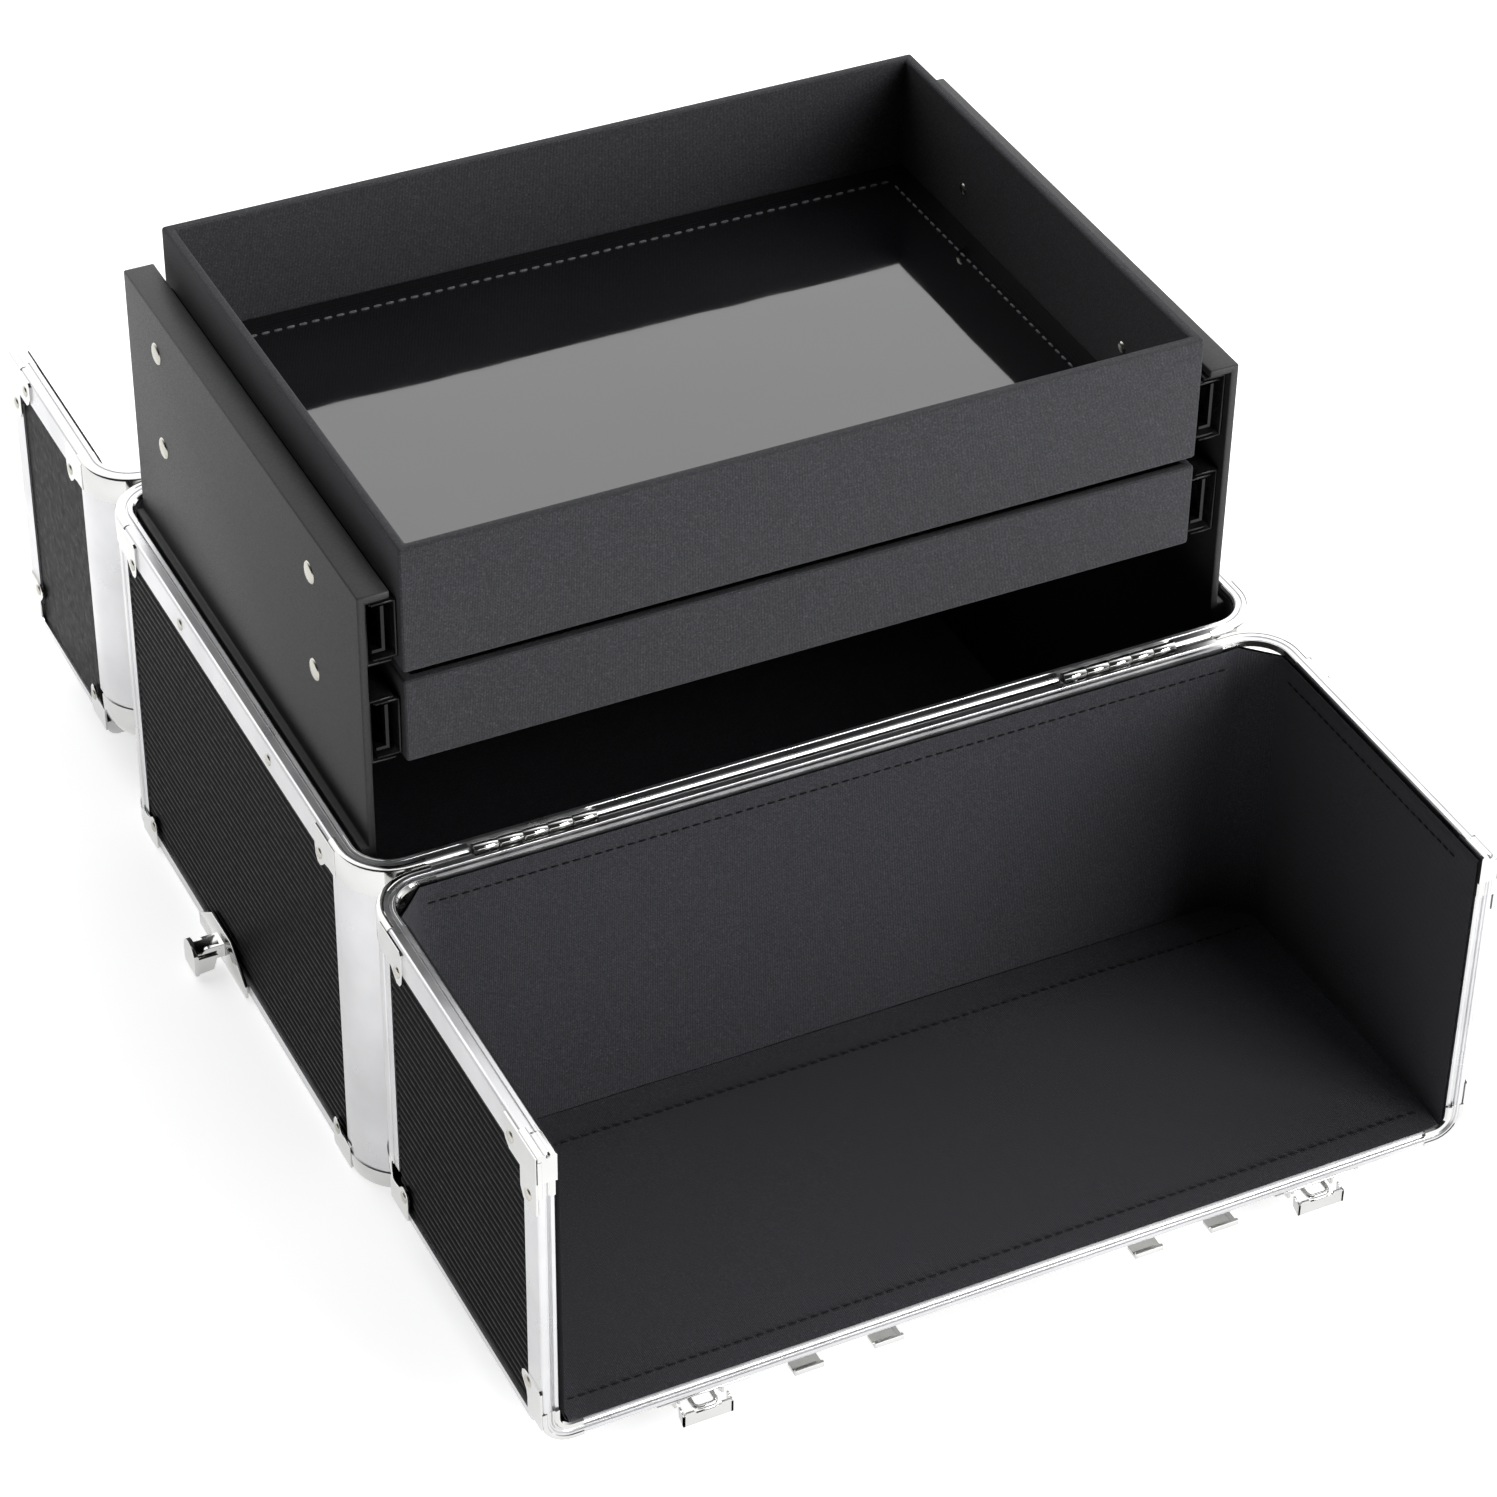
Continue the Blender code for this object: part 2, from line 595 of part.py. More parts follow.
def latches(axis, mats):
    """Two latches on the front lid's top, by its free edge. Underneath while the lid is open."""
    face = -RIM_GAP / 2 - LID_H - GAP
    free_y = -LID_GAP / 2 - FRONT_LID_DEPTH
    pivot_y = free_y + LATCH_PIVOT_IN
    plate_y = free_y + LATCH_PLATE_IN + LATCH_PLATE[1] / 2
    # turned half a turn about X: a plate's own +Z points down and its own +Y to the front
    over = (math.pi, 0, 0)
    for name, x in (("left", -LATCH_X), ("right", LATCH_X)):
        ear_y = -(pivot_y - plate_y)
        ears = [(a, b, ear_y - EAR_R, ear_y + EAR_R, LATCH_PIVOT_UP + EAR_R * 0.8)
                for a, b in ((-EAR_X[1], -EAR_X[0]), EAR_X)]
        bm = plate_with_bosses(LATCH_PLATE, ears)
        place(f"latch_plate_{name}", bm, mats["chrome"], (x, plate_y, face), over, axis)
        pivot_z = face - LATCH_PLATE[2] - LATCH_PIVOT_UP
        lever_axis = empty(f"latch_lever_axis_{name}", (x, pivot_y, pivot_z), parent=axis)
        lever = place(f"latch_lever_{name}", latch_lever(), mats["chrome"], parent=lever_axis)
        low = (-LEVER_SLOT_X, -2 * LEVER_NOSE, -2 * LEVER_TOP)
        high = (LEVER_SLOT_X, LEVER_SLOT_END, LEVER_T - LEVER_TOP + GAP)
        boolean(lever, cutter(f"cut_lever_{name}", low, high, lever_axis))
        loop_axis = empty(f"latch_loop_axis_{name}", (0, LOOP_PIVOT_IN, 0), parent=lever_axis)
        outer = rounded_loop(LOOP_W / 2, LOOP_L / 2, LOOP_BEND)
        inner = rounded_loop(LOOP_W / 2, LOOP_L / 2, LOOP_BEND, 2 * LOOP_WIRE)
        bm = strip(outer, inner, -LOOP_WIRE, LOOP_WIRE, True)
        at = (0, LOOP_WIRE - LOOP_L / 2, 0)
        place(f"latch_loop_{name}", bm, mats["chrome"], at, parent=loop_axis)


def latch_lever():
    """A folded channel, its back facing down. Its two cheeks start just ahead of its pivot."""
    w, t = LEVER_W / 2, LEVER_T
    outline = [
        (-w, LEVER_SKIRT), (-w, -LEVER_TOP), (w, -LEVER_TOP), (w, LEVER_SKIRT),
        (w - t, LEVER_SKIRT), (w - t, t - LEVER_TOP), (t - w, t - LEVER_TOP), (t - w, LEVER_SKIRT),
    ]
    return prism(outline, -LEVER_NOSE, LEVER_L, "Y")


def handle(axis, mats):
    """Two brackets on the front lid's top, in line with the shut case's middle, and the handle."""
    face = -RIM_GAP / 2 - LID_H - GAP
    pivot_y = -LID_GAP / 2 - DEPTH / 2
    over = (math.pi, 0, 0)
    for name, x in (("left", -HANDLE_X), ("right", HANDLE_X)):
        lugs = [(a, b, -LUG_Y, LUG_Y, LUG_H) for a, b in ((-LUG_X[1], -LUG_X[0]), LUG_X)]
        bm = plate_with_bosses(BRACKET, lugs)
        place(f"handle_bracket_{name}", bm, mats["chrome"], (x, pivot_y, face), over, axis)
    handle_axis = empty("handle_axis", (0, pivot_y, face - BRACKET[2] - HANDLE_DROP), parent=axis)
    out = HANDLE_X + HANDLE_ARM_W / 2
    into = HANDLE_X - HANDLE_ARM_W / 2
    back = HANDLE_T / 2
    grip = HANDLE_REACH
    bend = HANDLE_BEND
    inner = grip - HANDLE_GRIP_W
    outline = [
        (-out, -back), (-out, grip - bend), (-out + bend, grip), (out - bend, grip), (out, grip - bend),
        (out, -back), (into, -back), (into, inner), (-into, inner), (-into, -back),
    ]
    place("handle", prism(outline, -HANDLE_T / 2, HANDLE_T / 2), mats["grip"], parent=handle_axis)


def keepers(axis, mats):
    """The two lips on the rear lid's top that the latch loops draw on."""
    face = -RIM_GAP / 2 - LID_H - GAP
    free_y = -LID_GAP / 2 - REAR_LID_DEPTH
    y = free_y + KEEPER_IN + KEEPER[1] / 2
    margin, thick, height = KEEPER_LIP
    half = KEEPER[0] / 2 - margin
    lip = (-half, half, -KEEPER[1] / 2, -KEEPER[1] / 2 + thick, height)
    for name, x in (("left", LATCH_X), ("right", -LATCH_X)):
        bm = plate_with_bosses(KEEPER, [lip])
        place(f"latch_keeper_{name}", bm, mats["chrome"], (x, y, face), (math.pi, 0, 0), axis)


def build():
    clear_scene()
    mats = {
        "aluminium": material("aluminium", (0.80, 0.80, 0.81), 0.32, 1.0),
        "chrome": material("chrome", (0.78, 0.78, 0.78), 0.12, 1.0),
        "panel": material("panel", (0.012, 0.012, 0.013), 0.22, 0.0),
        "lining": material("lining", (0.030, 0.030, 0.033), 0.9, 0.0),
        "board": material("board", (0.025, 0.025, 0.027), 0.55, 0.0),
        "tray": material("tray", (0.028, 0.029, 0.032), 0.8, 0.0),
        "clear": material("clear", (0.05, 0.05, 0.055), 0.1, 0.0),
        "slide": material("slide", (0.01, 0.01, 0.01), 0.25, 0.6),
        "grip": material("grip", (0.02, 0.02, 0.02), 0.5, 0.0),
    }
    body_panels(mats)
    body_frame(mats)
    tray_rack(mats)
    trays(mats)
    hinges_on_body(mats)
    side_catches(mats)
    hinge_y = DEPTH / 2 + LID_GAP / 2
    front = empty("front_lid_axis", (0, -hinge_y, LID_AXIS_Z))
    rear = empty("rear_lid_axis", (0, hinge_y, LID_AXIS_Z), (0, 0, math.pi))
    lid("front", FRONT_LID_DEPTH, front, mats)
    lid_leaves("front", front, mats)
    latches(front, mats)
    handle(front, mats)
    lid("rear", REAR_LID_DEPTH, rear, mats)
    lid_leaves("rear", rear, mats)
    keepers(rear, mats)


build()
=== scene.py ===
import math

import bmesh
import bpy
from mathutils import Matrix, Vector, noise


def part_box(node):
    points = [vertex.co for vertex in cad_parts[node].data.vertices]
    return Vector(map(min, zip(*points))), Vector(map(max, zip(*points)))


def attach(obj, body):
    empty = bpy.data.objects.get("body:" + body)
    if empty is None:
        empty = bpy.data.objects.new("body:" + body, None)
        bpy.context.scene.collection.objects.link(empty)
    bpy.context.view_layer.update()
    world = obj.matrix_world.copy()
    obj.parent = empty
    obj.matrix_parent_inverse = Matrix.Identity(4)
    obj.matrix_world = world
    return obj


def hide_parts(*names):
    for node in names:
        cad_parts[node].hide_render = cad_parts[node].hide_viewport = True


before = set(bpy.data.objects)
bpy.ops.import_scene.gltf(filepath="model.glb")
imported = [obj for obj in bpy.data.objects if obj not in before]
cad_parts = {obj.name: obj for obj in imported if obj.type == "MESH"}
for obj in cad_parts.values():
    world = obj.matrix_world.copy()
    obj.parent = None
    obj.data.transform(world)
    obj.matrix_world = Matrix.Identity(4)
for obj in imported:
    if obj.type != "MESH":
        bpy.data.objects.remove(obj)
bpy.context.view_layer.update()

# ---- sizes from the frame, metres ----


def node_box(name):
    low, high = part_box(name)
    return Vector(low), Vector(high)


RIM_LOW, RIM_HIGH = node_box("body_rim")
HALF_X, HALF_Y, BODY_TOP = RIM_HIGH
RIM_H = BODY_TOP - RIM_LOW.z
BASE_H = node_box("body_base_frame")[1].z
WALL = HALF_X + node_box("body_left_panel")[1].x
POST_LOW, POST_HIGH = node_box("body_post_front_left")
POST_W = POST_HIGH.x - POST_LOW.x
CORNER_R = 0.020
CENTRE_X, CENTRE_Y = HALF_X - CORNER_R, HALF_Y - CORNER_R
SPLIT_R = 0.011
SPLIT_W = node_box("front_lid_split_frame")[1].y - node_box("front_lid_split_frame")[0].y
LID_TOP = node_box("front_lid_frame")[1].z
LID_LOW = node_box("front_lid_frame")[0].z
HINGE_LOW, HINGE_HIGH = node_box("hinge_front_left_body_leaf")
HINGE_X = abs(HINGE_HIGH.x + HINGE_LOW.x) / 2
HINGE_HALF = (HINGE_HIGH.x - HINGE_LOW.x) / 2 + 0.0003  # half of a hinge's recess in the rims
TRAY_HIGH = node_box("upper_tray")[1]
SHEET_LOW, SHEET_HIGH = node_box("tray_liner_sheet")

SNUG = 0.0002  # how far a profile runs in under its neighbour
RECESS_STEP = 0.00005  # the length of the step into a hinge's recess
LINING_CUT = {"front": 0.0125, "rear": 0.0080}  # the chamfer of a lid's lining beside the hinges
EDGE_H = 0.007  # the lid's far edge profile, from the side
EDGE_W = 0.012  # and square to the lid's top
RIB_PITCH = 0.0036
RIB_DEPTH = 0.00045
RIB_SHARP = 60
PROFILE_SHARP = 14  # degrees between faces that stay crisp on the profiles
POST_SHARP = 25
POST_STEP = 0.0004  # a post's flanges lie this far below its round face
CAP_SHARP = 30
CAP_OUT = 0.0005  # corner caps stand this far out of the profiles
EAR_T = 0.0008  # their riveted ears lie over them
CAP_LEG = 0.006
BALL_R = 0.0185  # the height of a lid's far corner caps
BALL_SKIRT = 0.0025
BALL_WALL = 0.0045
BALL_POWER = 0.75
RIVET_R = 0.0025
RIVET_H = 0.0008
BOARD_RIVET_R = 0.0043
LATCH_X = 0.1225
TRAY_RIVET_R = 0.0024
ARC_STEPS = 12
CLOTH_SHARP = 60
LINING_T = 0.0014
LINING_STEP = 0.008
CREASE_R = 0.0035  # the bend between a lid's lining and its floor
BOARD_RIVET_Y = (0.085, -0.066)
BOARD_INSET = 0.012  # from the case's end to a rack board's outer face
BODY_RIVET_Y = (-0.045, 0.045)


# ---- materials ----


def shader(name, colour, roughness, metallic=0.0, coat=0.0, coat_roughness=0.1, sheen=0.0, specular=0.5):
    """A Principled material with its node tree, ready for procedural detail."""
    mat = bpy.data.materials.new(name)
    mat.use_nodes = True
    tree = mat.node_tree
    bsdf = tree.nodes["Principled BSDF"]
    bsdf.inputs["Base Color"].default_value = (*colour, 1.0)
    bsdf.inputs["Roughness"].default_value = roughness
    bsdf.inputs["Metallic"].default_value = metallic
    bsdf.inputs["Coat Weight"].default_value = coat
    bsdf.inputs["Coat Roughness"].default_value = coat_roughness
    bsdf.inputs["Sheen Weight"].default_value = sheen
    bsdf.inputs["Sheen Roughness"].default_value = 0.5
    bsdf.inputs["Specular IOR Level"].default_value = specular
    return mat, tree, bsdf


def coords(tree, stretch=(1, 1, 1)):
    """Object coordinates in metres, stretched along each axis."""
    source = tree.nodes.new("ShaderNodeTexCoord")
    mapping = tree.nodes.new("ShaderNodeMapping")
    mapping.inputs["Scale"].default_value = stretch
    tree.links.new(source.outputs["Object"], mapping.inputs["Vector"])
    return mapping.outputs["Vector"]


def noise_value(tree, scale, detail=3.0, stretch=(1, 1, 1)):
    node = tree.nodes.new("ShaderNodeTexNoise")
    node.inputs["Scale"].default_value = scale
    node.inputs["Detail"].default_value = detail
    tree.links.new(coords(tree, stretch), node.inputs["Vector"])
    return node.outputs["Fac"]


def ramp(tree, value, stops):
    """A colour ramp over a value, stops being (position, colour)."""
    node = tree.nodes.new("ShaderNodeValToRGB")
    elements = node.color_ramp.elements
    elements[0].position, elements[0].color = stops[0][0], (*stops[0][1], 1)
    elements[1].position, elements[1].color = stops[-1][0], (*stops[-1][1], 1)
    for position, colour in stops[1:-1]:
        elements.new(position).color = (*colour, 1)
    tree.links.new(value, node.inputs["Fac"])
    return node.outputs["Color"]


def spread(tree, value, low, high):
    """A value mapped from 0.3..0.7, where noise mostly lies, to low..high."""
    node = tree.nodes.new("ShaderNodeMapRange")
    node.inputs["From Min"].default_value = 0.3
    node.inputs["From Max"].default_value = 0.7
    node.inputs["To Min"].default_value = low
    node.inputs["To Max"].default_value = high
    tree.links.new(value, node.inputs["Value"])
    return node.outputs["Result"]


def add_bump(tree, bsdf, height, strength, distance):
    node = tree.nodes.new("ShaderNodeBump")
    node.inputs["Strength"].default_value = strength
    node.inputs["Distance"].default_value = distance
    tree.links.new(height, node.inputs["Height"])
    tree.links.new(node.outputs["Normal"], bsdf.inputs["Normal"])


def calc(tree, operation, a, b=None):
    """A math node on two sockets or numbers."""
    node = tree.nodes.new("ShaderNodeMath")
    node.operation = operation
    for socket, value in zip(node.inputs, (a, b)):
        if isinstance(value, (int, float)):
            socket.default_value = value
        elif value is not None:
            tree.links.new(value, socket)
    return node.outputs[0]


def weave_height(tree, pitch):
    """A plain weave: threads over and under on whichever plane the cloth lies."""
    split = tree.nodes.new("ShaderNodeSeparateXYZ")
    tree.links.new(coords(tree), split.inputs[0])
    waves = [calc(tree, "SINE", calc(tree, "MULTIPLY", axis, 2 * math.pi / pitch)) for axis in split.outputs]
    total = calc(tree, "ADD", calc(tree, "ADD", waves[0], waves[1]), waves[2])
    return calc(tree, "ADD", total, calc(tree, "MULTIPLY", noise_value(tree, 900.0, 2.0), 2.5))


def cloth(name, dark, light, pitch, bump):
    mat, tree, bsdf = shader(name, dark, 0.85, sheen=0.07, specular=0.12)
    # Base colour: specks that vary at random between the dark and light tones, and a top stop at 1.8 times
    # the light tone that paints bright highlight glints into the cloth.
    specks_and_glints = noise_value(tree, 1600.0, 3.0)
    tree.links.new(ramp(tree, specks_and_glints, ((0.34, dark), (0.60, light), (0.78, tuple(1.8 * c for c in light)))),
                   bsdf.inputs["Base Color"])
    add_bump(tree, bsdf, weave_height(tree, pitch), bump, 0.00025)
    return mat


def metal(name, colour, rough_low, rough_high, grain, bump):
    mat, tree, bsdf = shader(name, colour, rough_low, metallic=1.0)
    streaks = noise_value(tree, 60.0, 4.0, grain)
    tree.links.new(spread(tree, streaks, rough_low, rough_high), bsdf.inputs["Roughness"])
    lighter = tuple(min(1.0, c * 1.04) for c in colour)
    darker = tuple(c * 0.93 for c in colour)
    tree.links.new(ramp(tree, noise_value(tree, 35.0, 3.0), ((0.35, darker), (0.65, lighter))),
                   bsdf.inputs["Base Color"])
    add_bump(tree, bsdf, streaks, bump, 0.0002)
    return mat


def gloss(name, colour, lighter, roughness, coat, bump, scale, distance=0.0004, stretch=(1, 1, 1)):
    mat, tree, bsdf = shader(name, colour, roughness, coat=coat, coat_roughness=roughness / 2)
    wear = noise_value(tree, scale, 5.0, stretch)
    tree.links.new(ramp(tree, wear, ((0.35, colour), (0.7, lighter))), bsdf.inputs["Base Color"])
    tree.links.new(spread(tree, noise_value(tree, scale * 3, 3.0), roughness * 0.8, roughness * 1.3),
                   bsdf.inputs["Roughness"])
    add_bump(tree, bsdf, wear, bump, distance)
    return mat


MATS = {
    "aluminium": metal("satin_aluminium", (0.60, 0.60, 0.61), 0.26, 0.34, (1, 1, 1), 0.012),
    "chrome": metal("bright_chrome", (0.60, 0.60, 0.59), 0.07, 0.13, (1, 1, 1), 0.01),
    "nickel": metal("nickel_rivet", (0.46, 0.45, 0.40), 0.18, 0.30, (1, 1, 1), 0.03),
    "panel": gloss("ribbed_gloss_black", (0.0025, 0.0025, 0.0025), (0.0045, 0.0045, 0.0045), 0.30, 0.0,
                   0.02, 90.0),
    "board": gloss("grained_vinyl", (0.015, 0.015, 0.016), (0.023, 0.023, 0.024), 0.50, 0.0, 0.30, 1100.0,
                   0.00012),
    "lining": cloth("woven_lining", (0.019, 0.019, 0.022), (0.033, 0.033, 0.039), 0.0007, 0.35),
    "tray": cloth("tray_cloth", (0.026, 0.026, 0.029), (0.042, 0.042, 0.047), 0.0006, 0.35),
    "clear": gloss("clear_vinyl", (0.004, 0.004, 0.005), (0.007, 0.007, 0.008), 0.05, 0.8, 0.03, 14.0,
                   0.0016),
    "slide": gloss("black_steel", (0.004, 0.004, 0.004), (0.008, 0.008, 0.008), 0.20, 0.2, 0.08, 250.0),
    "grip": gloss("moulded_grip", (0.012, 0.012, 0.012), (0.020, 0.020, 0.020), 0.45, 0.0, 0.3, 900.0),
    "thread": cloth("light_thread", (0.10, 0.10, 0.11), (0.17, 0.17, 0.18), 0.0006, 0.3),
    "dark_thread": cloth("dark_thread", (0.003, 0.003, 0.004), (0.006, 0.006, 0.007), 0.0006, 0.3),
}
for dull, level in (("panel", 0.012), ("slide", 0.1), ("board", 0.32)):
    MATS[dull].node_tree.nodes["Principled BSDF"].inputs["Specular IOR Level"].default_value = level


# ---- mesh helpers ----


class Shape:
    """Vertices and faces for one piece, in world metres."""

    def __init__(self):
        self.verts = []
        self.faces = []

    def loft(self, rings, closed=False, section_open=False):
        """Joins rings of points in order. Open lofts of closed sections get end caps."""
        base, count, size = len(self.verts), len(rings), len(rings[0])
        for ring in rings:
            self.verts.extend(ring)
        for i in range(count if closed else count - 1):
            here, there = base + i * size, base + (i + 1) % count * size
            for j in range(size - 1 if section_open else size):
                k = (j + 1) % size
                self.faces.append((here + j, here + k, there + k, there + j))
        if not closed and not section_open:
            self.faces.append(tuple(range(base + size - 1, base - 1, -1)))
            self.faces.append(tuple(range(base + (count - 1) * size, base + count * size)))

    def plate(self, outline, origin, du, dv, dn, thick):
        """A flat outline in the plane of du and dv, thick along dn, with a small chamfer."""
        edge = min(0.00015, thick / 3)
        middle = Vector((sum(u for u, v in outline), sum(v for u, v in outline))) / len(outline)
        rings = []
        for height, inset in ((0, 0), (thick - edge, 0), (thick, edge)):
            ring = []
            for u, v in outline:
                toward = middle - Vector((u, v))
                p = Vector((u, v)) + toward.normalized() * inset
                ring.append(origin + du * p.x + dv * p.y + dn * height)
            rings.append(ring)
        self.loft(rings)

    def flat_plate(self, outline, origin, du, dv, dn, thick):
        """A plate whose outline may bend inwards, without a chamfer."""
        self.loft([[origin + du * u + dv * v + dn * h for u, v in outline] for h in (0.0, thick)])

    def dome(self, centre, normal, radius, height, steps=14, rows=4):
        """A domed rivet head on a surface."""
        side = normal.orthogonal().normalized()
        up = normal.cross(side)
        rings = []
        for row in range(rows + 1):
            a = math.pi / 2 * row / rows
            r = radius * math.cos(a) if row < rows else radius * 0.03
            h = height * math.sin(a)
            rings.append([centre + normal * h + (side * math.cos(t) + up * math.sin(t)) * r
                          for t in (2 * math.pi * k / steps for k in range(steps))])
        self.loft(rings)

    def stitch_line(self, start, end, normal, pitch, length, width):
        """Short raised stitches along a straight seam."""
        run = end - start
        along = run.normalized()
        across = normal.cross(along)
        for k in range(int(run.length / pitch)):
            p = start + along * (pitch * (k + 0.5) - length / 2)
            rings = []
            for t, s in ((0, 0.25), (0.15, 0.9), (0.5, 1.0), (0.85, 0.9), (1, 0.25)):
                mid = p + along * (length * t) + normal * (width * 0.15)
                reach = width / 2 * s
                rings.append([mid + across * (reach * math.cos(a)) + normal * (reach * math.sin(a))
                              for a in (math.pi / 3 * n for n in range(6))])
            self.loft(rings)

    def sheet(self, steps_x, steps_y, point):
        """A thin sheet with two faces and a closed border. point places (i, j) on the upper or lower face."""
        for top in (True, False):
            rows = [[point(i, j, top) for i in range(steps_x + 1)] for j in range(steps_y + 1)]
            self.loft(rows, section_open=True)
        wide = steps_x + 1
        rim = list(range(steps_x)) + [j * wide + steps_x for j in range(steps_y)]
        rim += [steps_y * wide + i for i in range(steps_x, 0, -1)] + [j * wide for j in range(steps_y, 0, -1)]
        below = wide * (steps_y + 1)
        for a, b in zip(rim, rim[1:] + rim[:1]):
            self.faces.append((a, b, b + below, a + below))

    def make(self, name, mat, body, nodes=(), sharp=35):
        bm = bmesh.new()
        verts = [bm.verts.new(v) for v in self.verts]
        for face in self.faces:
            bm.faces.new([verts[i] for i in face])
        bmesh.ops.recalc_face_normals(bm, faces=bm.faces[:])
        mesh = bpy.data.meshes.new(name)
        bm.to_mesh(mesh)
        bm.free()
        return finish_piece(mesh, name, mat, body, nodes, sharp)


def finish_piece(mesh, name, mat, body, nodes, sharp=35):
    mesh.shade_smooth()
    mesh.set_sharp_from_angle(angle=math.radians(sharp))
    mesh.materials.clear()
    mesh.materials.append(MATS[mat])
    obj = bpy.data.objects.new(name, mesh)
    bpy.context.collection.objects.link(obj)
    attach(obj, body)
    if nodes:
        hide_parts(*nodes)
    return obj


def refine(node, mat, body, width, segments=2):
    """A copy of a CAD node with its sharp edges rounded, standing for it."""
    bm = bmesh.new()
    bm.from_mesh(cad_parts[node].data)
    bmesh.ops.remove_doubles(bm, verts=bm.verts[:], dist=0.00001)
    bmesh.ops.dissolve_limit(bm, angle_limit=math.radians(1), verts=bm.verts[:], edges=bm.edges[:])
    edges = [e for e in bm.edges if len(e.link_faces) == 2 and e.calc_face_angle() > math.radians(40)]
    bmesh.ops.bevel(bm, geom=edges, offset=width, segments=segments, profile=0.5, affect="EDGES",
                    clamp_overlap=True)
    bmesh.ops.recalc_face_normals(bm, faces=bm.faces[:])
    mesh = bpy.data.meshes.new(f"{node}_finished")
    bm.to_mesh(mesh)
    bm.free()
    return finish_piece(mesh, f"{node}_finished", mat, body, (node,), 50)


def arc(cx, cy, radius, start, end, steps=ARC_STEPS):
    """(point, inward normal) pairs on an arc, in degrees."""
    out = []
    for i in range(steps + 1):
        a = math.radians(start + (end - start) * i / steps)
        c, s = math.cos(a), math.sin(a)
        out.append(((cx + radius * c, cy + radius * s), (-c, -s)))
    return out


def sweep(shape, path, section, place, closed=False):
    """A section (inset, height) carried along a path of (point, inward normal)."""
    rings = [[place(p[0] + n[0] * a, p[1] + n[1] * a, b) for a, b in section] for p, n in path]
    shape.loft(rings, closed)


# the profiles' sections: inset from the outer face, height over the reference plane
RIM_SECTION = [
    (0.0, -RIM_H), (0.0, -0.0012), (0.0005, -0.0005), (0.0012, -0.0003), (0.0037, -0.0003), (0.0039, -0.0009),
    (0.0043, -0.0010), (0.0046, -0.0005), (0.0060, -0.0004), (0.0065, -0.0009), (0.0065, -RIM_H),
]
HINGE_SECTION = [(max(a, 0.0019), min(b, -0.0026) if a < 0.0019 else b) for a, b in RIM_SECTION]
CAP_SECTION = [
    (-CAP_OUT, -RIM_H - 0.0002), (-CAP_OUT, -0.0014), (0.0, -0.0005), (0.0008, -0.0001), (0.0020, -0.0001),
    (0.0027, -0.0006), (0.0030, -0.0017), (0.0036, -0.0020), (0.0042, -0.0016), (0.0046, -0.0007),
    (0.0054, -0.0004), (0.0063, -0.0006), (0.0069, -0.0014), (0.0069, -RIM_H - 0.0006),
]
BASE_SECTION = [
    (0.0, BASE_H), (0.0, 0.0022), (0.0006, 0.0008), (0.0020, 0.0001), (0.0064, 0.0001), (0.0064, BASE_H),
]
BASE_CAP_SECTION = [
    (-CAP_OUT, BASE_H + 0.0014), (-CAP_OUT, 0.0024), (0.0001, 0.0010), (0.0018, 0.00005), (0.0040, 0.00005),
    (0.0040, BASE_H), (0.0003, BASE_H + 0.0014),
]
EDGE_SECTION = [
    (0.0, EDGE_H), (0.0, 0.0042), (0.0006, 0.0022), (0.0020, 0.0008), (0.0042, 0.0), (EDGE_W, 0.0),
    (EDGE_W, 0.0063), (0.0063, 0.0063), (0.0063, EDGE_H),
]


def ball_section(radius):
    """The lid's far corner caps: a short skirt that turns under in a squarish quarter round."""
    turn = []
    for k in range(11):
        a = math.pi / 2 * k / 10
        c, d = math.cos(a) ** BALL_POWER, math.sin(a) ** BALL_POWER
        turn.append((CORNER_R - (CORNER_R + CAP_OUT) * c, radius - (radius - 0.0001) * d))
    top = radius + BALL_SKIRT
    return [(-CAP_OUT, top), *turn, (CORNER_R, 0.004), (0.007, 0.0045), (BALL_WALL, 0.007),
            (BALL_WALL, top)]


# ---- repeated trim ----

EAR = [
    (-0.001, 0.0), (0.0165, 0.0), (0.0176, 0.0012), (0.0178, 0.0100), (0.0172, 0.0140), (0.0155, 0.0162),
    (0.0132, 0.0165), (0.0110, 0.0150), (0.0085, 0.0126), (0.0050, 0.0118), (-0.001, 0.0118),
]
EAR_RIVET = (0.0136, 0.0112)
LOW_EAR = 0.86  # the size of the ears on the feet and the ball corners


def ear(caps, rivets, origin, du, dv, dn, size=1.0):
    """A cap's riveted ear on a wall: du runs away from the corner and dv away from the edge."""
    caps.plate([(u * size, v * size) for u, v in EAR], origin, du, dv, dn, EAR_T)
    centre = origin + du * (EAR_RIVET[0] * size) + dv * (EAR_RIVET[1] * size) + dn * (EAR_T * 0.9)
    rivets.dome(centre, dn, RIVET_R, RIVET_H)


def ribbed_panel(name, origin, du, dv, dn, length, height, thick, body, node):
    """A board faced in ribbed sheet. Ribs run along du and are counted along dv."""
    count = max(1, round(height / RIB_PITCH))
    pitch = height / count
    face = []
    for k in range(count):
        for t, d in ((0.0, 1.0), (0.14, 0.75), (0.30, 0.12), (0.50, 0.0), (0.70, 0.12), (0.86, 0.75)):
            face.append(((k + t) * pitch, -d * RIB_DEPTH))
    face.append((height, -RIB_DEPTH))
    outline = face + [(height, -thick), (0.0, -thick)]
    shape = Shape()
    shape.loft([[origin + du * s + dv * v + dn * d for v, d in outline] for s in (0.0, length)])
    shape.make(name, "panel", body, (node,), RIB_SHARP)


X, Y, Z = Vector((1, 0, 0)), Vector((0, 1, 0)), Vector((0, 0, 1))
AXES = {"x": X, "y": Y, "z": Z}


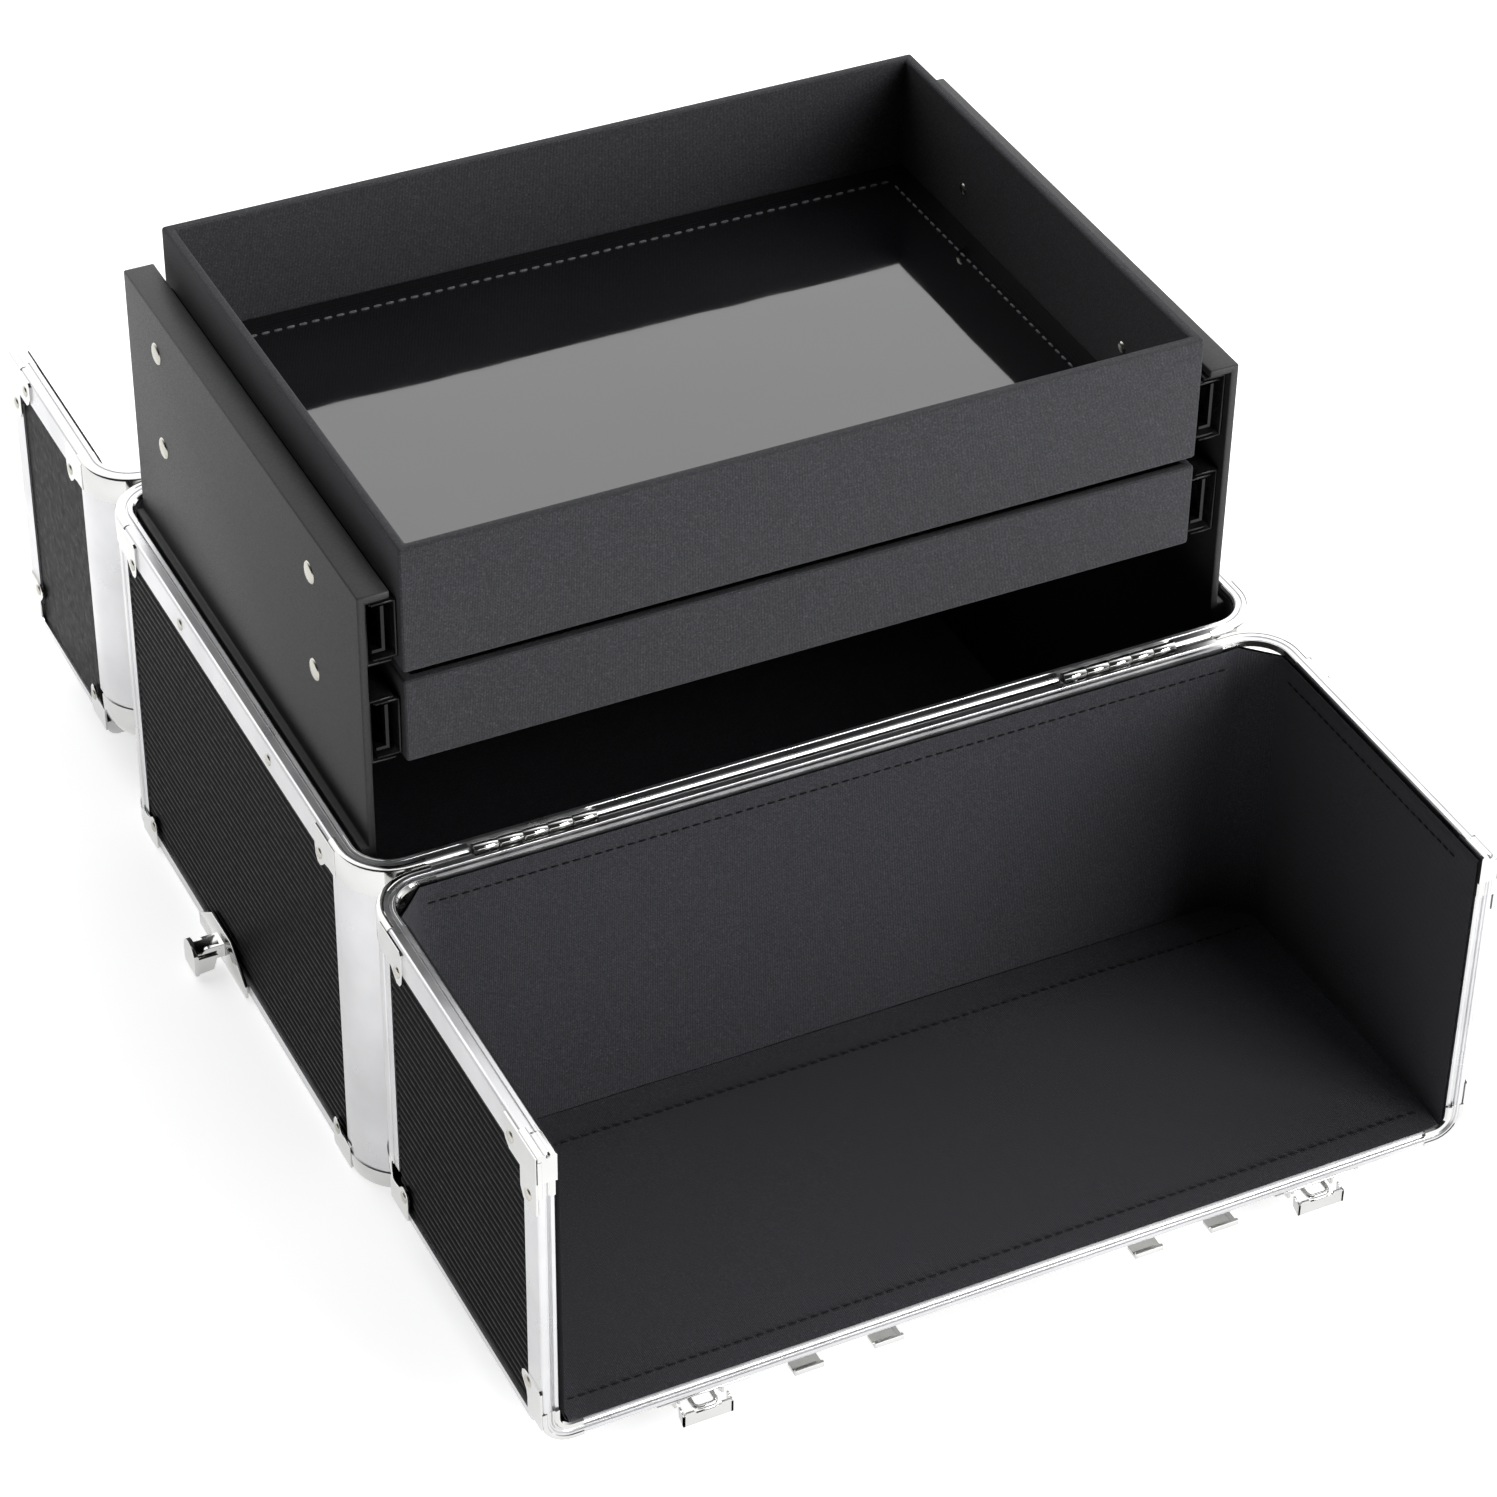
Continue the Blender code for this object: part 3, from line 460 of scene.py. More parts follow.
def panel_on(node, out_axis, sign, rib_axis, body):
    """A ribbed panel in a CAD panel's place, facing along one axis."""
    low, high = node_box(node)
    size = high - low
    out = "xyz".index(out_axis)
    rib = "xyz".index(rib_axis)
    other = 3 - out - rib
    origin = low.copy()
    origin[out] = high[out] if sign > 0 else low[out]
    ribbed_panel(f"{node}_ribbed", origin, AXES[rib_axis], AXES["xyz"[other]], AXES[out_axis] * sign,
                 size[rib], size[other], size[out], body, node)


# ---- body ----


QUARTERS = (("rear_right", 1, 1, 0), ("rear_left", -1, 1, 90), ("front_left", -1, -1, 180),
            ("front_right", 1, -1, 270))  # the body's corners, with the angle each arc starts at


def body_path(extra_x=()):
    """The body's plan, anticlockwise, with (point, inward normal), and extra points on the long sides."""
    out = []
    for name, qx, qy, start in QUARTERS:
        out += arc(qx * CENTRE_X, qy * CENTRE_Y, CORNER_R, start, start + 90)
        if start in (0, 180):
            side = 1 if start == 0 else -1
            out += [((x * side, side * HALF_Y), (0, -side)) for x in sorted(extra_x, reverse=True)]
    return out


def hinge_steps():
    """The places along a hinge side where the rim steps into and out of its two recesses."""
    steps = []
    for centre in (-HINGE_X, HINGE_X):
        steps += [centre - HINGE_HALF - RECESS_STEP, centre - HINGE_HALF, centre + HINGE_HALF,
                  centre + HINGE_HALF + RECESS_STEP]
    return steps


def rim_rings(path, place):
    """The rim's section along a path, cut back where a hinge lies on it."""
    rings = []
    for p, n in path:
        recessed = abs(n[0]) < 1e-6 and abs(abs(p[0]) - HINGE_X) < HINGE_HALF + RECESS_STEP / 5
        section = HINGE_SECTION if recessed else RIM_SECTION
        rings.append([place(p[0] + n[0] * a, p[1] + n[1] * a, b) for a, b in section])
    return rings


def body_profiles():
    rim = Shape()
    rim.loft(rim_rings(body_path(hinge_steps()), lambda x, y, b: Vector((x, y, BODY_TOP + b))), True)
    rim.make("body_rim_profile", "aluminium", "root", ("body_rim",), PROFILE_SHARP)
    rail = Shape()
    sweep(rail, body_path(), BASE_SECTION, lambda x, y, b: Vector((x, y, b)), True)
    rail.make("body_base_profile", "aluminium", "root", ("body_base_frame",))


def post_section(centre, start, inset):
    """One face of a post's plan: a round corner with a flat flange each side, set a little lower."""
    points = arc(centre[0], centre[1], CORNER_R - inset, start, start + 90, 16)
    flanges = []
    for (p, n), sign in ((points[0], 1), (points[-1], -1)):
        along = Vector((-n[1], n[0])) * sign
        flanges.append([Vector(p) + along * s + Vector(n) * POST_STEP for s in (POST_W - CORNER_R, 0.0003)])
    return flanges[0] + [Vector(p) for p, n in points] + flanges[1][::-1]


def corner_post(name, centre, start, low, high, place, body, nodes=()):
    """A post of round profile between two heights. place takes its plan's two values and a height."""
    plan = post_section(centre, start, 0.0) + post_section(centre, start, WALL - SNUG)[::-1]
    shape = Shape()
    shape.loft([[place(p.x, p.y, z) for p in plan] for z in (low, high)])
    shape.make(name, "aluminium", body, nodes, POST_SHARP)


def body_posts():
    low, high = BASE_H - SNUG, BODY_TOP - RIM_H + SNUG
    for name, qx, qy, start in QUARTERS:
        corner_post(f"body_post_{name}_profile", (qx * CENTRE_X, qy * CENTRE_Y), start, low, high,
                    lambda x, y, z: Vector((x, y, z)), "root", (f"body_post_{name}",))


def body_caps():
    """Chrome caps on the four rim corners and the four feet."""
    caps, rivets = Shape(), Shape()
    levels = ((CAP_SECTION, BODY_TOP, BODY_TOP - 0.0012, -Z, 1.0),
              (BASE_CAP_SECTION, 0.0, 0.0006, Z, LOW_EAR))
    for name, qx, qy, start in QUARTERS:
        for section, level, ear_z, inward, size in levels:
            path = with_legs(arc(qx * CENTRE_X, qy * CENTRE_Y, CORNER_R, start, start + 90), CAP_LEG)
            sweep(caps, path, section, lambda x, y, b: Vector((x, y, level + b)))
            on_side = Vector((qx * HALF_X, qy * (CENTRE_Y - 0.001), ear_z))
            on_front = Vector((qx * (CENTRE_X - 0.001), qy * HALF_Y, ear_z))
            ear(caps, rivets, on_side, Y * -qy, inward, X * qx, size)
            ear(caps, rivets, on_front, X * -qx, inward, Y * qy, size)
    for qx in (-1, 1):
        for y in BODY_RIVET_Y:
            rivets.dome(Vector((qx * HALF_X, y, BODY_TOP - 0.0070)), X * qx, RIVET_R, RIVET_H)
    caps.make("body_corner_caps", "chrome", "root", (), CAP_SHARP)
    rivets.make("body_rivets", "nickel", "root")


def with_legs(path, leg):
    """A path with a straight run on each end, along its tangent."""
    (p0, n0), (p1, n1) = path[0], path[-1]
    t0 = Vector((p0[0] - path[1][0][0], p0[1] - path[1][0][1])).normalized()
    t1 = Vector((p1[0] - path[-2][0][0], p1[1] - path[-2][0][1])).normalized()
    t0 = t0 - Vector(n0) * t0.dot(Vector(n0))
    t1 = t1 - Vector(n1) * t1.dot(Vector(n1))
    start = (tuple(Vector(p0) + t0.normalized() * leg), n0)
    end = (tuple(Vector(p1) + t1.normalized() * leg), n1)
    return [start, *path, end]


def body_lining():
    """Cloth on the inside of the four walls."""
    shape = Shape()
    path = body_path()
    low, back, face = 0.0064, WALL + 0.0001, WALL + 0.0011
    section = [(back, low), (back, BODY_TOP - 0.0030), (WALL + 0.0009, BODY_TOP - 0.0026),
               (face, BODY_TOP - 0.0032), (face, low)]
    sweep(shape, path, section, lambda x, y, b: Vector((x, y, b)), True)
    shape.make("body_wall_lining", "lining", "root")


# ---- tray rack ----


def rack():
    for name in ("left", "right"):
        refine(f"rack_board_{name}", "board", "root", 0.0007, 2)
    board_face = HALF_X - BOARD_INSET
    rivets = Shape()
    for side in (-1, 1):
        for tier in ("upper", "lower"):
            slide_low, slide_high = node_box(f"slide_outer_{tier}_left")
            z = (slide_low.z + slide_high.z) / 2
            for y in BOARD_RIVET_Y:
                rivets.dome(Vector((side * board_face, y, z)), X * side, BOARD_RIVET_R, 0.0011, 20, 5)
    rivets.make("rack_rivets", "nickel", "root")
    for tier in ("upper", "lower"):
        for name in ("left", "right"):
            refine(f"slide_outer_{tier}_{name}", "slide", "root", 0.0002, 1)
            refine(f"slide_inner_{tier}_{name}", "slide", f"{tier}_tray", 0.0002, 1)
            slide_cage(tier, name)


BALL_HEIGHT = 0.0022  # of a race of balls, from the inner channel's edge
BALL_COUNT = 14
BALL_PITCH = 0.0080
STRIP_HALF = 0.0024
STRIP_T = 0.0012


def slide_cage(tier, name):
    """The ball cage between a slide's two channels, with balls along both edges."""
    low, high = node_box(f"slide_outer_{tier}_{name}")
    inner_low, inner_high = node_box(f"slide_inner_{tier}_{name}")
    side = -1 if name == "left" else 1
    x = (low.x + high.x) / 2 - side * 0.0012
    bottom, top = inner_low.z + BALL_HEIGHT, inner_high.z - BALL_HEIGHT
    cage, balls = Shape(), Shape()
    for z0, z1 in ((bottom, bottom + STRIP_T), (top - STRIP_T, top)):
        outline = [(-STRIP_HALF, z0), (STRIP_HALF, z0), (STRIP_HALF, z1), (-STRIP_HALF, z1)]
        cage.loft([[Vector((x + u, y, v)) for u, v in outline] for y in (low.y + 0.004, low.y + 0.120)])
    stop_low, stop_high = inner_low.z + 0.0026, inner_high.z - 0.0026
    stop = [(-0.0030, stop_low), (0.0018, stop_low), (0.0018, stop_high), (0.0006, stop_high),
            (0.0006, stop_low + STRIP_T), (-0.0030, stop_low + STRIP_T)]
    cage.loft([[Vector((x + u, y, v)) for u, v in stop] for y in (low.y + 0.0015, low.y + 0.0045)])
    for k in range(BALL_COUNT):
        y = low.y + 0.010 + BALL_PITCH * k
        for z, n in ((bottom, -Z), (top, Z)):
            balls.dome(Vector((x, y, z)), n, 0.0009, 0.0009, 8, 3)
    cage.make(f"slide_cage_{tier}_{name}", "slide", "root")
    balls.make(f"slide_balls_{tier}_{name}", "nickel", "root")


# ---- trays ----


def trays():
    for tier in ("upper", "lower"):
        refine(f"{tier}_tray", "tray", f"{tier}_tray", 0.0013, 3)
    liner_sheet()
    rivets = Shape()
    for side in (-1, 1):
        x = side * (TRAY_HIGH.x - 0.0042)
        for y in (0.062, -0.062):
            z = SHEET_HIGH.z + 0.016
            rivets.dome(Vector((x, y, z)), X * -side, TRAY_RIVET_R, 0.0009)
    rivets.make("upper_tray_rivets", "nickel", "upper_tray")


SEAM_INSET = 0.0095  # from the clear sheet's edge to its stitches
LINER_T = 0.0006


def liner_height(x, y):
    """The clear sheet's upper face: faint ripples in the middle and a slight curl along its edge."""
    edge = min(x - SHEET_LOW.x, SHEET_HIGH.x - x, y - SHEET_LOW.y, SHEET_HIGH.y - y)
    ease = min(1.0, max(0.0, (edge - 0.008) / 0.02))
    ripple = noise.noise(Vector((x * 16, y * 26, 3.1)))
    ripple += 0.4 * noise.noise(Vector((x * 70, y * 40, 8.0)))
    curl = 0.0012 * max(0.0, 1 - edge / 0.005)
    return SHEET_HIGH.z + 0.0003 + 0.00007 * ease * ripple + curl


def liner_sheet():
    """The clear sheet on the upper tray's floor, with its stitched border."""
    steps_x, steps_y = 60, 44
    size = SHEET_HIGH - SHEET_LOW

    def point(i, j, top):
        x = SHEET_LOW.x + size.x * i / steps_x
        y = SHEET_LOW.y + size.y * j / steps_y
        z = liner_height(x, y)
        return Vector((x, y, z if top else z - LINER_T))

    shape = Shape()
    shape.sheet(steps_x, steps_y, point)
    shape.make("tray_liner", "clear", "upper_tray", ("tray_liner_sheet",))
    x0, x1 = SHEET_LOW.x + SEAM_INSET, SHEET_HIGH.x - SEAM_INSET
    y0, y1 = SHEET_LOW.y + SEAM_INSET, SHEET_HIGH.y - SEAM_INSET
    z = SHEET_HIGH.z + 0.0004
    corners = [Vector((x0, y0, z)), Vector((x1, y0, z)), Vector((x1, y1, z)), Vector((x0, y1, z))]
    thread = Shape()
    for a, b in zip(corners, corners[1:] + corners[:1]):
        thread.stitch_line(a, b, Z, 0.0050, 0.0032, 0.0010)
    thread.make("tray_liner_stitches", "thread", "upper_tray")





# ---- lids ----


LID_ARC = {-1: 180, 1: 270}  # the angle at which a lid's left or right arc starts


class Lid:
    """One lid's frame of reference: u runs from its hinge wall to its free edge."""

    def __init__(self, name, sy):
        self.name, self.sy, self.body = name, sy, f"{name}_lid"
        low, high = node_box(f"{name}_lid_frame")
        split_low, split_high = node_box(f"{name}_lid_split_frame")
        self.wall = abs(high.y if sy < 0 else low.y)
        self.depth = abs(split_low.y if sy < 0 else split_high.y) - self.wall
        self.low, self.top = LID_LOW, LID_TOP

    def at(self, x, u, z):
        return Vector((x, self.sy * (self.wall + u), z))

    def direction(self, x, u, z):
        return Vector((x, self.sy * u, z))

    def u_path(self, end):
        """The plan from the left leg's end, round the hinge wall, to the right leg's end."""
        wall = [((x, 0.0), (0, 1)) for x in hinge_steps()]
        return [((-HALF_X, end), (1, 0)), *self.corner(-1), *wall, *self.corner(1), ((HALF_X, end), (-1, 0))]

    def corner(self, sx, radius=CORNER_R):
        """The round corner at one end of the hinge wall, as (point, inward normal)."""
        start = LID_ARC[sx]
        return arc(sx * CENTRE_X, CORNER_R, radius, start, start + 90)


def lid_profiles(lid):
    """The rim round the hinge side, the rails round the closed face, and a post at each round corner."""
    straight = lid.depth - 0.0121
    rim = Shape()
    rim.loft(rim_rings(lid.u_path(straight), lambda x, u, b: lid.at(x, u, lid.top + b)))
    rim.make(f"{lid.name}_lid_rim_profile", "aluminium", lid.body, (f"{lid.name}_lid_frame",), PROFILE_SHARP)
    inner = CORNER_R - 0.001
    edge = Shape()
    for run in ([((-HALF_X, straight), (1, 0)), ((-HALF_X, inner), (1, 0))],
                [((-HALF_X + inner, 0.0), (0, 1)), ((HALF_X - inner, 0.0), (0, 1))],
                [((HALF_X, inner), (-1, 0)), ((HALF_X, straight), (-1, 0))]):
        sweep(edge, run, EDGE_SECTION, lambda x, u, b: lid.at(x, u, lid.low + b))
    edge.make(f"{lid.name}_lid_edge_profile", "aluminium", lid.body)
    low, high = lid.low + BALL_R + BALL_SKIRT - 0.001, lid.top - RIM_H + SNUG
    for name, sx in (("left", -1), ("right", 1)):
        corner_post(f"{lid.name}_lid_post_{name}", (sx * CENTRE_X, CORNER_R), LID_ARC[sx], low, high, lid.at,
                    lid.body)


def split_path(lid):
    """The U round the free edge, in X and Z, with inward normals."""
    r = SPLIT_R
    left = arc(-HALF_X + r, lid.low + r, r, 180, 270)
    right = arc(HALF_X - r, lid.low + r, r, 270, 360)
    top = lid.top - 0.0008
    return [((-HALF_X, top), (1, 0)), *left, *right, ((HALF_X, top), (-1, 0))]


SPLIT_SECTION = [
    (0.0, SPLIT_W), (0.0, 0.0012), (0.0003, 0.0007), (0.0008, 0.0004), (0.0024, 0.0004), (0.0027, 0.0009),
    (0.0031, 0.0009), (0.0034, 0.0004), (0.0037, 0.0007), (0.0039, 0.0015), (0.0044, 0.0019),
    (0.0048, 0.0014), (0.0060, 0.0012), (0.0065, 0.0018), (0.0065, SPLIT_W),
]
SPLIT_CAP_SECTION = [
    (-CAP_OUT, SPLIT_W + 0.0003), (-CAP_OUT, 0.0008), (-0.0001, 0.0001), (0.0014, 0.0001), (0.0020, 0.0008),
    (0.0042, 0.0008), (0.0048, 0.0002), (0.0062, 0.0004), (0.0068, 0.0012), (0.0068, SPLIT_W),
]


def lid_split(lid):
    shape = Shape()
    sweep(shape, split_path(lid), SPLIT_SECTION, lambda x, z, c: lid.at(x, lid.depth - c, z))
    shape.make(f"{lid.name}_lid_split_profile", "aluminium", lid.body, (f"{lid.name}_lid_split_frame",),
               PROFILE_SHARP)


def lid_caps(lid):
    """Chrome caps: two round rim corners, two mitred corners, two round split corners, two ball corners."""
    caps, rivets = Shape(), Shape()
    for sx in (-1, 1):
        rim_and_ball_caps(lid, sx, caps, rivets)
        corner_fill(lid, sx, caps)
        mitred_cap(lid, sx, caps, rivets)
        split_corner_cap(lid, sx, caps, rivets)
    caps.make(f"{lid.name}_lid_corner_caps", "chrome", lid.body, (), CAP_SHARP)
    rivets.make(f"{lid.name}_lid_rivets", "nickel", lid.body)


def rim_and_ball_caps(lid, sx, caps, rivets):
    """The caps over and under a post, each with an ear on both walls."""
    r, corner = CORNER_R, lid.corner(sx)
    away, wall_out, side = lid.direction(0, 1, 0), lid.direction(0, -1, 0), X * sx
    ear_z = lid.top - 0.0012
    sweep(caps, with_legs(corner, CAP_LEG), CAP_SECTION, lambda x, u, b: lid.at(x, u, lid.top + b))
    ear(caps, rivets, lid.at(sx * HALF_X, r + 0.001, ear_z), away, -Z, side)
    ear(caps, rivets, lid.at(sx * (CENTRE_X - 0.001), 0, ear_z), X * -sx, -Z, wall_out)
    ear_z = lid.low + 0.0035
    sweep(caps, corner, ball_section(BALL_R), lambda x, u, b: lid.at(x, u, lid.low + b))
    ear(caps, rivets, lid.at(sx * HALF_X, r - 0.0006, ear_z), away, Z, side, LOW_EAR)
    ear(caps, rivets, lid.at(sx * (CENTRE_X + 0.0006), 0, ear_z), X * -sx, Z, wall_out, LOW_EAR)


def corner_fill(lid, sx, caps):
    """The web between a round rim corner and the lining's chamfer."""
    reach = LINING_CUT[lid.name] + WALL + 0.0008
    line = [(x, u) for (x, u), n in lid.corner(sx, CORNER_R - WALL + 0.0004)
            if HALF_X - abs(x) + u < reach + WALL - 0.0006]
    near, far = (sx * (HALF_X - WALL + 0.0004), reach), (sx * (HALF_X - reach), WALL - 0.0004)
    line = [near, *line, far] if sx < 0 else [far, *line, near]
    caps.loft([[lid.at(x, u, lid.top - z) for x, u in line] for z in (0.0028, 0.0021)])


MITRE_LEG = 0.015
MITRE_PLATE = [
    (0.0, 0.0), (0.0255, 0.0), (0.0265, 0.0015), (0.0265, 0.0070), (0.0245, 0.0105), (0.0215, 0.0128),
    (0.0128, 0.0128), (0.0128, 0.0215), (0.0105, 0.0250), (0.0065, 0.0262), (0.0012, 0.0262), (0.0, 0.0250),
]
MITRE_RIVETS = ((0.0205, 0.0068), (0.0066, 0.0205))


def mitred_cap(lid, sx, caps, rivets):
    """The bracket where the side rim meets the free edge: it runs along both and has a rivet in each leg."""
    x, inward = sx * HALF_X, (-sx, 0)
    along = [((x, lid.depth - MITRE_LEG), inward), ((x, lid.depth - 0.0002), inward)]
    sweep(caps, along, CAP_SECTION, lambda x, u, b: lid.at(x, u, lid.top + b))
    down = [((x, lid.top - 0.0030), inward), ((x, lid.top - MITRE_LEG - 0.004), inward)]
    sweep(caps, down, SPLIT_CAP_SECTION, lambda x, z, c: lid.at(x, lid.depth - c, z))
    origin = lid.at(x, lid.depth - 0.0002, lid.top - 0.0010)
    back, side = lid.direction(0, -1, 0), X * sx
    caps.flat_plate(MITRE_PLATE, origin, back, -Z, side, EAR_T)
    for u, v in MITRE_RIVETS:
        rivets.dome(origin + back * u - Z * v + side * (EAR_T * 0.9), side, RIVET_R, RIVET_H)


def split_corner_cap(lid, sx, caps, rivets):
    """The cap round a lower corner of the free edge, with an ear on the side wall."""
    r = SPLIT_R
    start = LID_ARC[sx]
    corner = with_legs(arc(sx * (HALF_X - r), lid.low + r, r, start, start + 90, 8), 0.004)
    sweep(caps, corner, SPLIT_CAP_SECTION, lambda x, z, c: lid.at(x, lid.depth - c, z))
    origin = lid.at(sx * HALF_X, lid.depth - 0.0004, lid.low + r - 0.002)
    ear(caps, rivets, origin, Z, lid.direction(0, -1, 0), X * sx, 0.95)


def lid_panels(lid):
    panel_on(f"{lid.name}_lid_wall_panel", "y", -lid.sy, "x", lid.body)
    panel_on(f"{lid.name}_lid_left_panel", "x", -1, "y", lid.body)
    panel_on(f"{lid.name}_lid_right_panel", "x", 1, "y", lid.body)
    panel_on(f"{lid.name}_lid_top_panel", "z", -1, "x", lid.body)


def lining_line(inset, cut, end):
    """The lining's plan, from the free edge round the hinge side and back, as (point, inward normal)."""
    x0 = HALF_X - inset
    corners = [(-x0, end), (-x0, inset + cut), (-x0 + cut, inset), (x0 - cut, inset), (x0, inset + cut),
               (x0, end)]
    line = []
    for (ax, au), (bx, bu) in zip(corners, corners[1:]):
        length = math.hypot(bx - ax, bu - au)
        count = max(2, round(length / LINING_STEP))
        normal = (-(bu - au) / length, (bx - ax) / length)
        for k in range(count):
            t = k / count
            line.append(((ax + (bx - ax) * t, au + (bu - au) * t), normal))
    return [*line, (corners[-1], (-1.0, 0.0))]


def lining_rows(low, top):
    """(push inward, height) down a wall: its rolled top edge, its face and the crease at its foot."""
    rows = [(0.0006, top - 0.0006), (0.0012, top), (0.0016, top - 0.0012)]
    rows += [(LINING_T, low + CREASE_R + (top - 0.004 - low - CREASE_R) * (1 - k / 12)) for k in range(13)]
    for k in range(1, 5):
        a = math.pi / 2 * k / 4
        rows.append((LINING_T + CREASE_R * (1 - math.cos(a)), low + CREASE_R * (1 - math.sin(a))))
    return rows


def lining_wall(lid, line, rows, low, top):
    """Rings down the walls, with the cloth a little uneven between the top edge and the foot."""
    rings = []
    for push, z in rows:
        uneven = 0.0003 if low + 0.004 < z < top - 0.006 else 0
        ring = []
        for p, n in line:
            reach = push + uneven * noise.noise(Vector((p[0] * 22, p[1] * 22, z * 22)))
            ring.append(lid.at(p[0] + n[0] * reach, p[1] + n[1] * reach, z))
        rings.append(ring)
    return rings


def lining_floor(lid, line, push, inset, end, low):
    """Rings over the floor, which close towards a line along its middle."""
    middle = (inset + end) / 2
    rings = []
    for k in range(1, 9):
        t = k / 8
        ring = []
        for p, n in line:
            x, u = p[0] + n[0] * push, p[1] + n[1] * push
            fx = x + (max(-0.10, min(0.10, x)) - x) * t
            fu = u + (middle - u) * t if u < end - 0.001 else u
            soft = 0.00025 * noise.noise(Vector((fx * 18, fu * 18, 5.0)))
            ring.append(lid.at(fx, fu, low + soft * (1 - abs(2 * t - 1))))
        rings.append(ring)
    return rings


def lid_lining(lid):
    """A cloth shell inside the lid: three walls, chamfered corners and what lies under the floor's board."""
    inset, end = WALL + 0.0002, lid.depth - 0.0012
    low, top = lid.low + WALL + 0.0003, lid.top - 0.0022
    line = lining_line(inset, LINING_CUT[lid.name], end)
    rows = lining_rows(low, top)
    rings = lining_wall(lid, line, rows, low, top)
    rings += lining_floor(lid, line, rows[-1][0], inset, end, low)
    shape = Shape()
    shape.loft(rings, section_open=True)
    shape.make(f"{lid.name}_lid_lining", "lining", lid.body, (), CLOTH_SHARP)


def lid_floor(lid):
    """The cloth-covered board on the lid's inner face, with its softly rolled edges."""
    inset = WALL + 0.0030
    low = Vector((-HALF_X + inset, inset))
    high = Vector((HALF_X - inset, lid.depth - 0.0010))
    cut = LINING_CUT[lid.name] - 0.0015
    steps_x, steps_u = 70, 28
    z0 = lid.low + WALL + 0.0012

    def height(x, u):
        edge = min(x - low.x, high.x - x, u - low.y)
        roll = 0.0011 * max(0.0, 1 - edge / 0.010) ** 2
        front = -0.0006 * max(0.0, 1 - (high.y - u) / 0.006)
        soft = 0.00022 * noise.noise(Vector((x * 20, u * 20, 1.7)))
        wrinkle = 0.0005 * max(0.0, noise.noise(Vector((x * 9, u * 30, 4.2)))) * max(0.0, 1 - edge / 0.035)
        return z0 + roll + front + soft + wrinkle

    def point(i, j, top):
        u = low.y + (high.y - low.y) * j / steps_u
        squeeze = max(0.0, cut - (u - low.y))
        t = i / steps_x
        x = (low.x + squeeze) * (1 - t) + (high.x - squeeze) * t
        return lid.at(x, u, height(x, u) if top else z0 - 0.0007)

    shape = Shape()
    shape.sheet(steps_x, steps_u, point)
    shape.make(f"{lid.name}_lid_floor_lining", "lining", lid.body, (), CLOTH_SHARP)


def lid_seams(lid):
    """Dark stitched seams near the rim, along the floor's crease and near the free edge."""
    thread = Shape()
    inset = WALL + 0.0017
    x0 = HALF_X - inset
    z_top = lid.top - 0.0100
    z_floor = lid.low + WALL + 0.0014
    end = lid.depth - 0.010
    runs = [
        (lid.at(-x0 + 0.013, inset, z_top), lid.at(x0 - 0.013, inset, z_top), lid.direction(0, 1, 0)),
        (lid.at(-x0 + 0.004, 0.024, z_floor), lid.at(x0 - 0.004, 0.024, z_floor), Z),
        (lid.at(-x0 + 0.004, end, z_floor), lid.at(x0 - 0.004, end, z_floor), Z),
        (lid.at(-x0, 0.024, z_top), lid.at(-x0, end, z_top), X),
        (lid.at(x0, 0.024, z_top), lid.at(x0, end, z_top), -X),
    ]
    for a, b, n in runs:
        thread.stitch_line(a, b, n, 0.0042, 0.0030, 0.0008)
    thread.make(f"{lid.name}_lid_seams", "dark_thread", lid.body)


# ---- fittings ----


def fittings():
    for end, body in (("front", "front_lid"), ("rear", "rear_lid")):
        for name in ("left", "right"):
            refine(f"hinge_{end}_{name}_body_leaf", "chrome", "root", 0.00015, 1)
            refine(f"hinge_{end}_{name}_lid_leaf", "chrome", body, 0.00015, 1)
    for name in ("left", "right"):
        refine(f"latch_plate_{name}", "chrome", "front_lid", 0.0003, 2)
        refine(f"latch_lever_{name}", "chrome", f"latch_lever_{name}", 0.0004, 2)
        refine(f"latch_loop_{name}", "chrome", f"latch_loop_{name}", 0.0006, 3)
        refine(f"latch_keeper_{name}", "chrome", "rear_lid", 0.0004, 2)
        refine(f"handle_bracket_{name}", "chrome", "front_lid", 0.0004, 2)
        refine(f"side_catch_plate_{name}", "chrome", "root", 0.0004, 2)


BAIL_HALF, BAIL_T = 0.0095, 0.0008
BAIL_LOW, BAIL_NOTCH, BAIL_HIGH = 0.0080, 0.0128, 0.0140
BAIL_WALL = [
    (-BAIL_HALF, BAIL_LOW), (BAIL_HALF, BAIL_LOW), (BAIL_HALF, BAIL_NOTCH), (BAIL_HALF - 0.0012, BAIL_HIGH),
    (0.0052, BAIL_HIGH), (0.0044, BAIL_NOTCH), (-0.0044, BAIL_NOTCH), (-0.0052, BAIL_HIGH),
    (-BAIL_HALF + 0.0012, BAIL_HIGH), (-BAIL_HALF, BAIL_NOTCH),
]
BAIL_FLANGE = [(-BAIL_T, BAIL_LOW), (0.0030, 0.0096), (0.0034, BAIL_HIGH), (-BAIL_T, 0.0130)]


def latch_hooks():
    """The folded front of each latch's bail: a wall as wide as the lever, with two side flanges."""
    for name, x in (("left", -LATCH_X), ("right", LATCH_X)):
        front = node_box(f"latch_loop_{name}")[0].y
        shape = Shape()
        shape.flat_plate(BAIL_WALL, Vector((x, front, 0)), X, Z, -Y, BAIL_T)
        for edge in (x - BAIL_HALF, x + (BAIL_HALF - BAIL_T)):
            shape.flat_plate(BAIL_FLANGE, Vector((edge, front, 0)), Y, Z, X, BAIL_T)
        shape.make(f"latch_bail_front_{name}", "chrome", f"latch_loop_{name}")


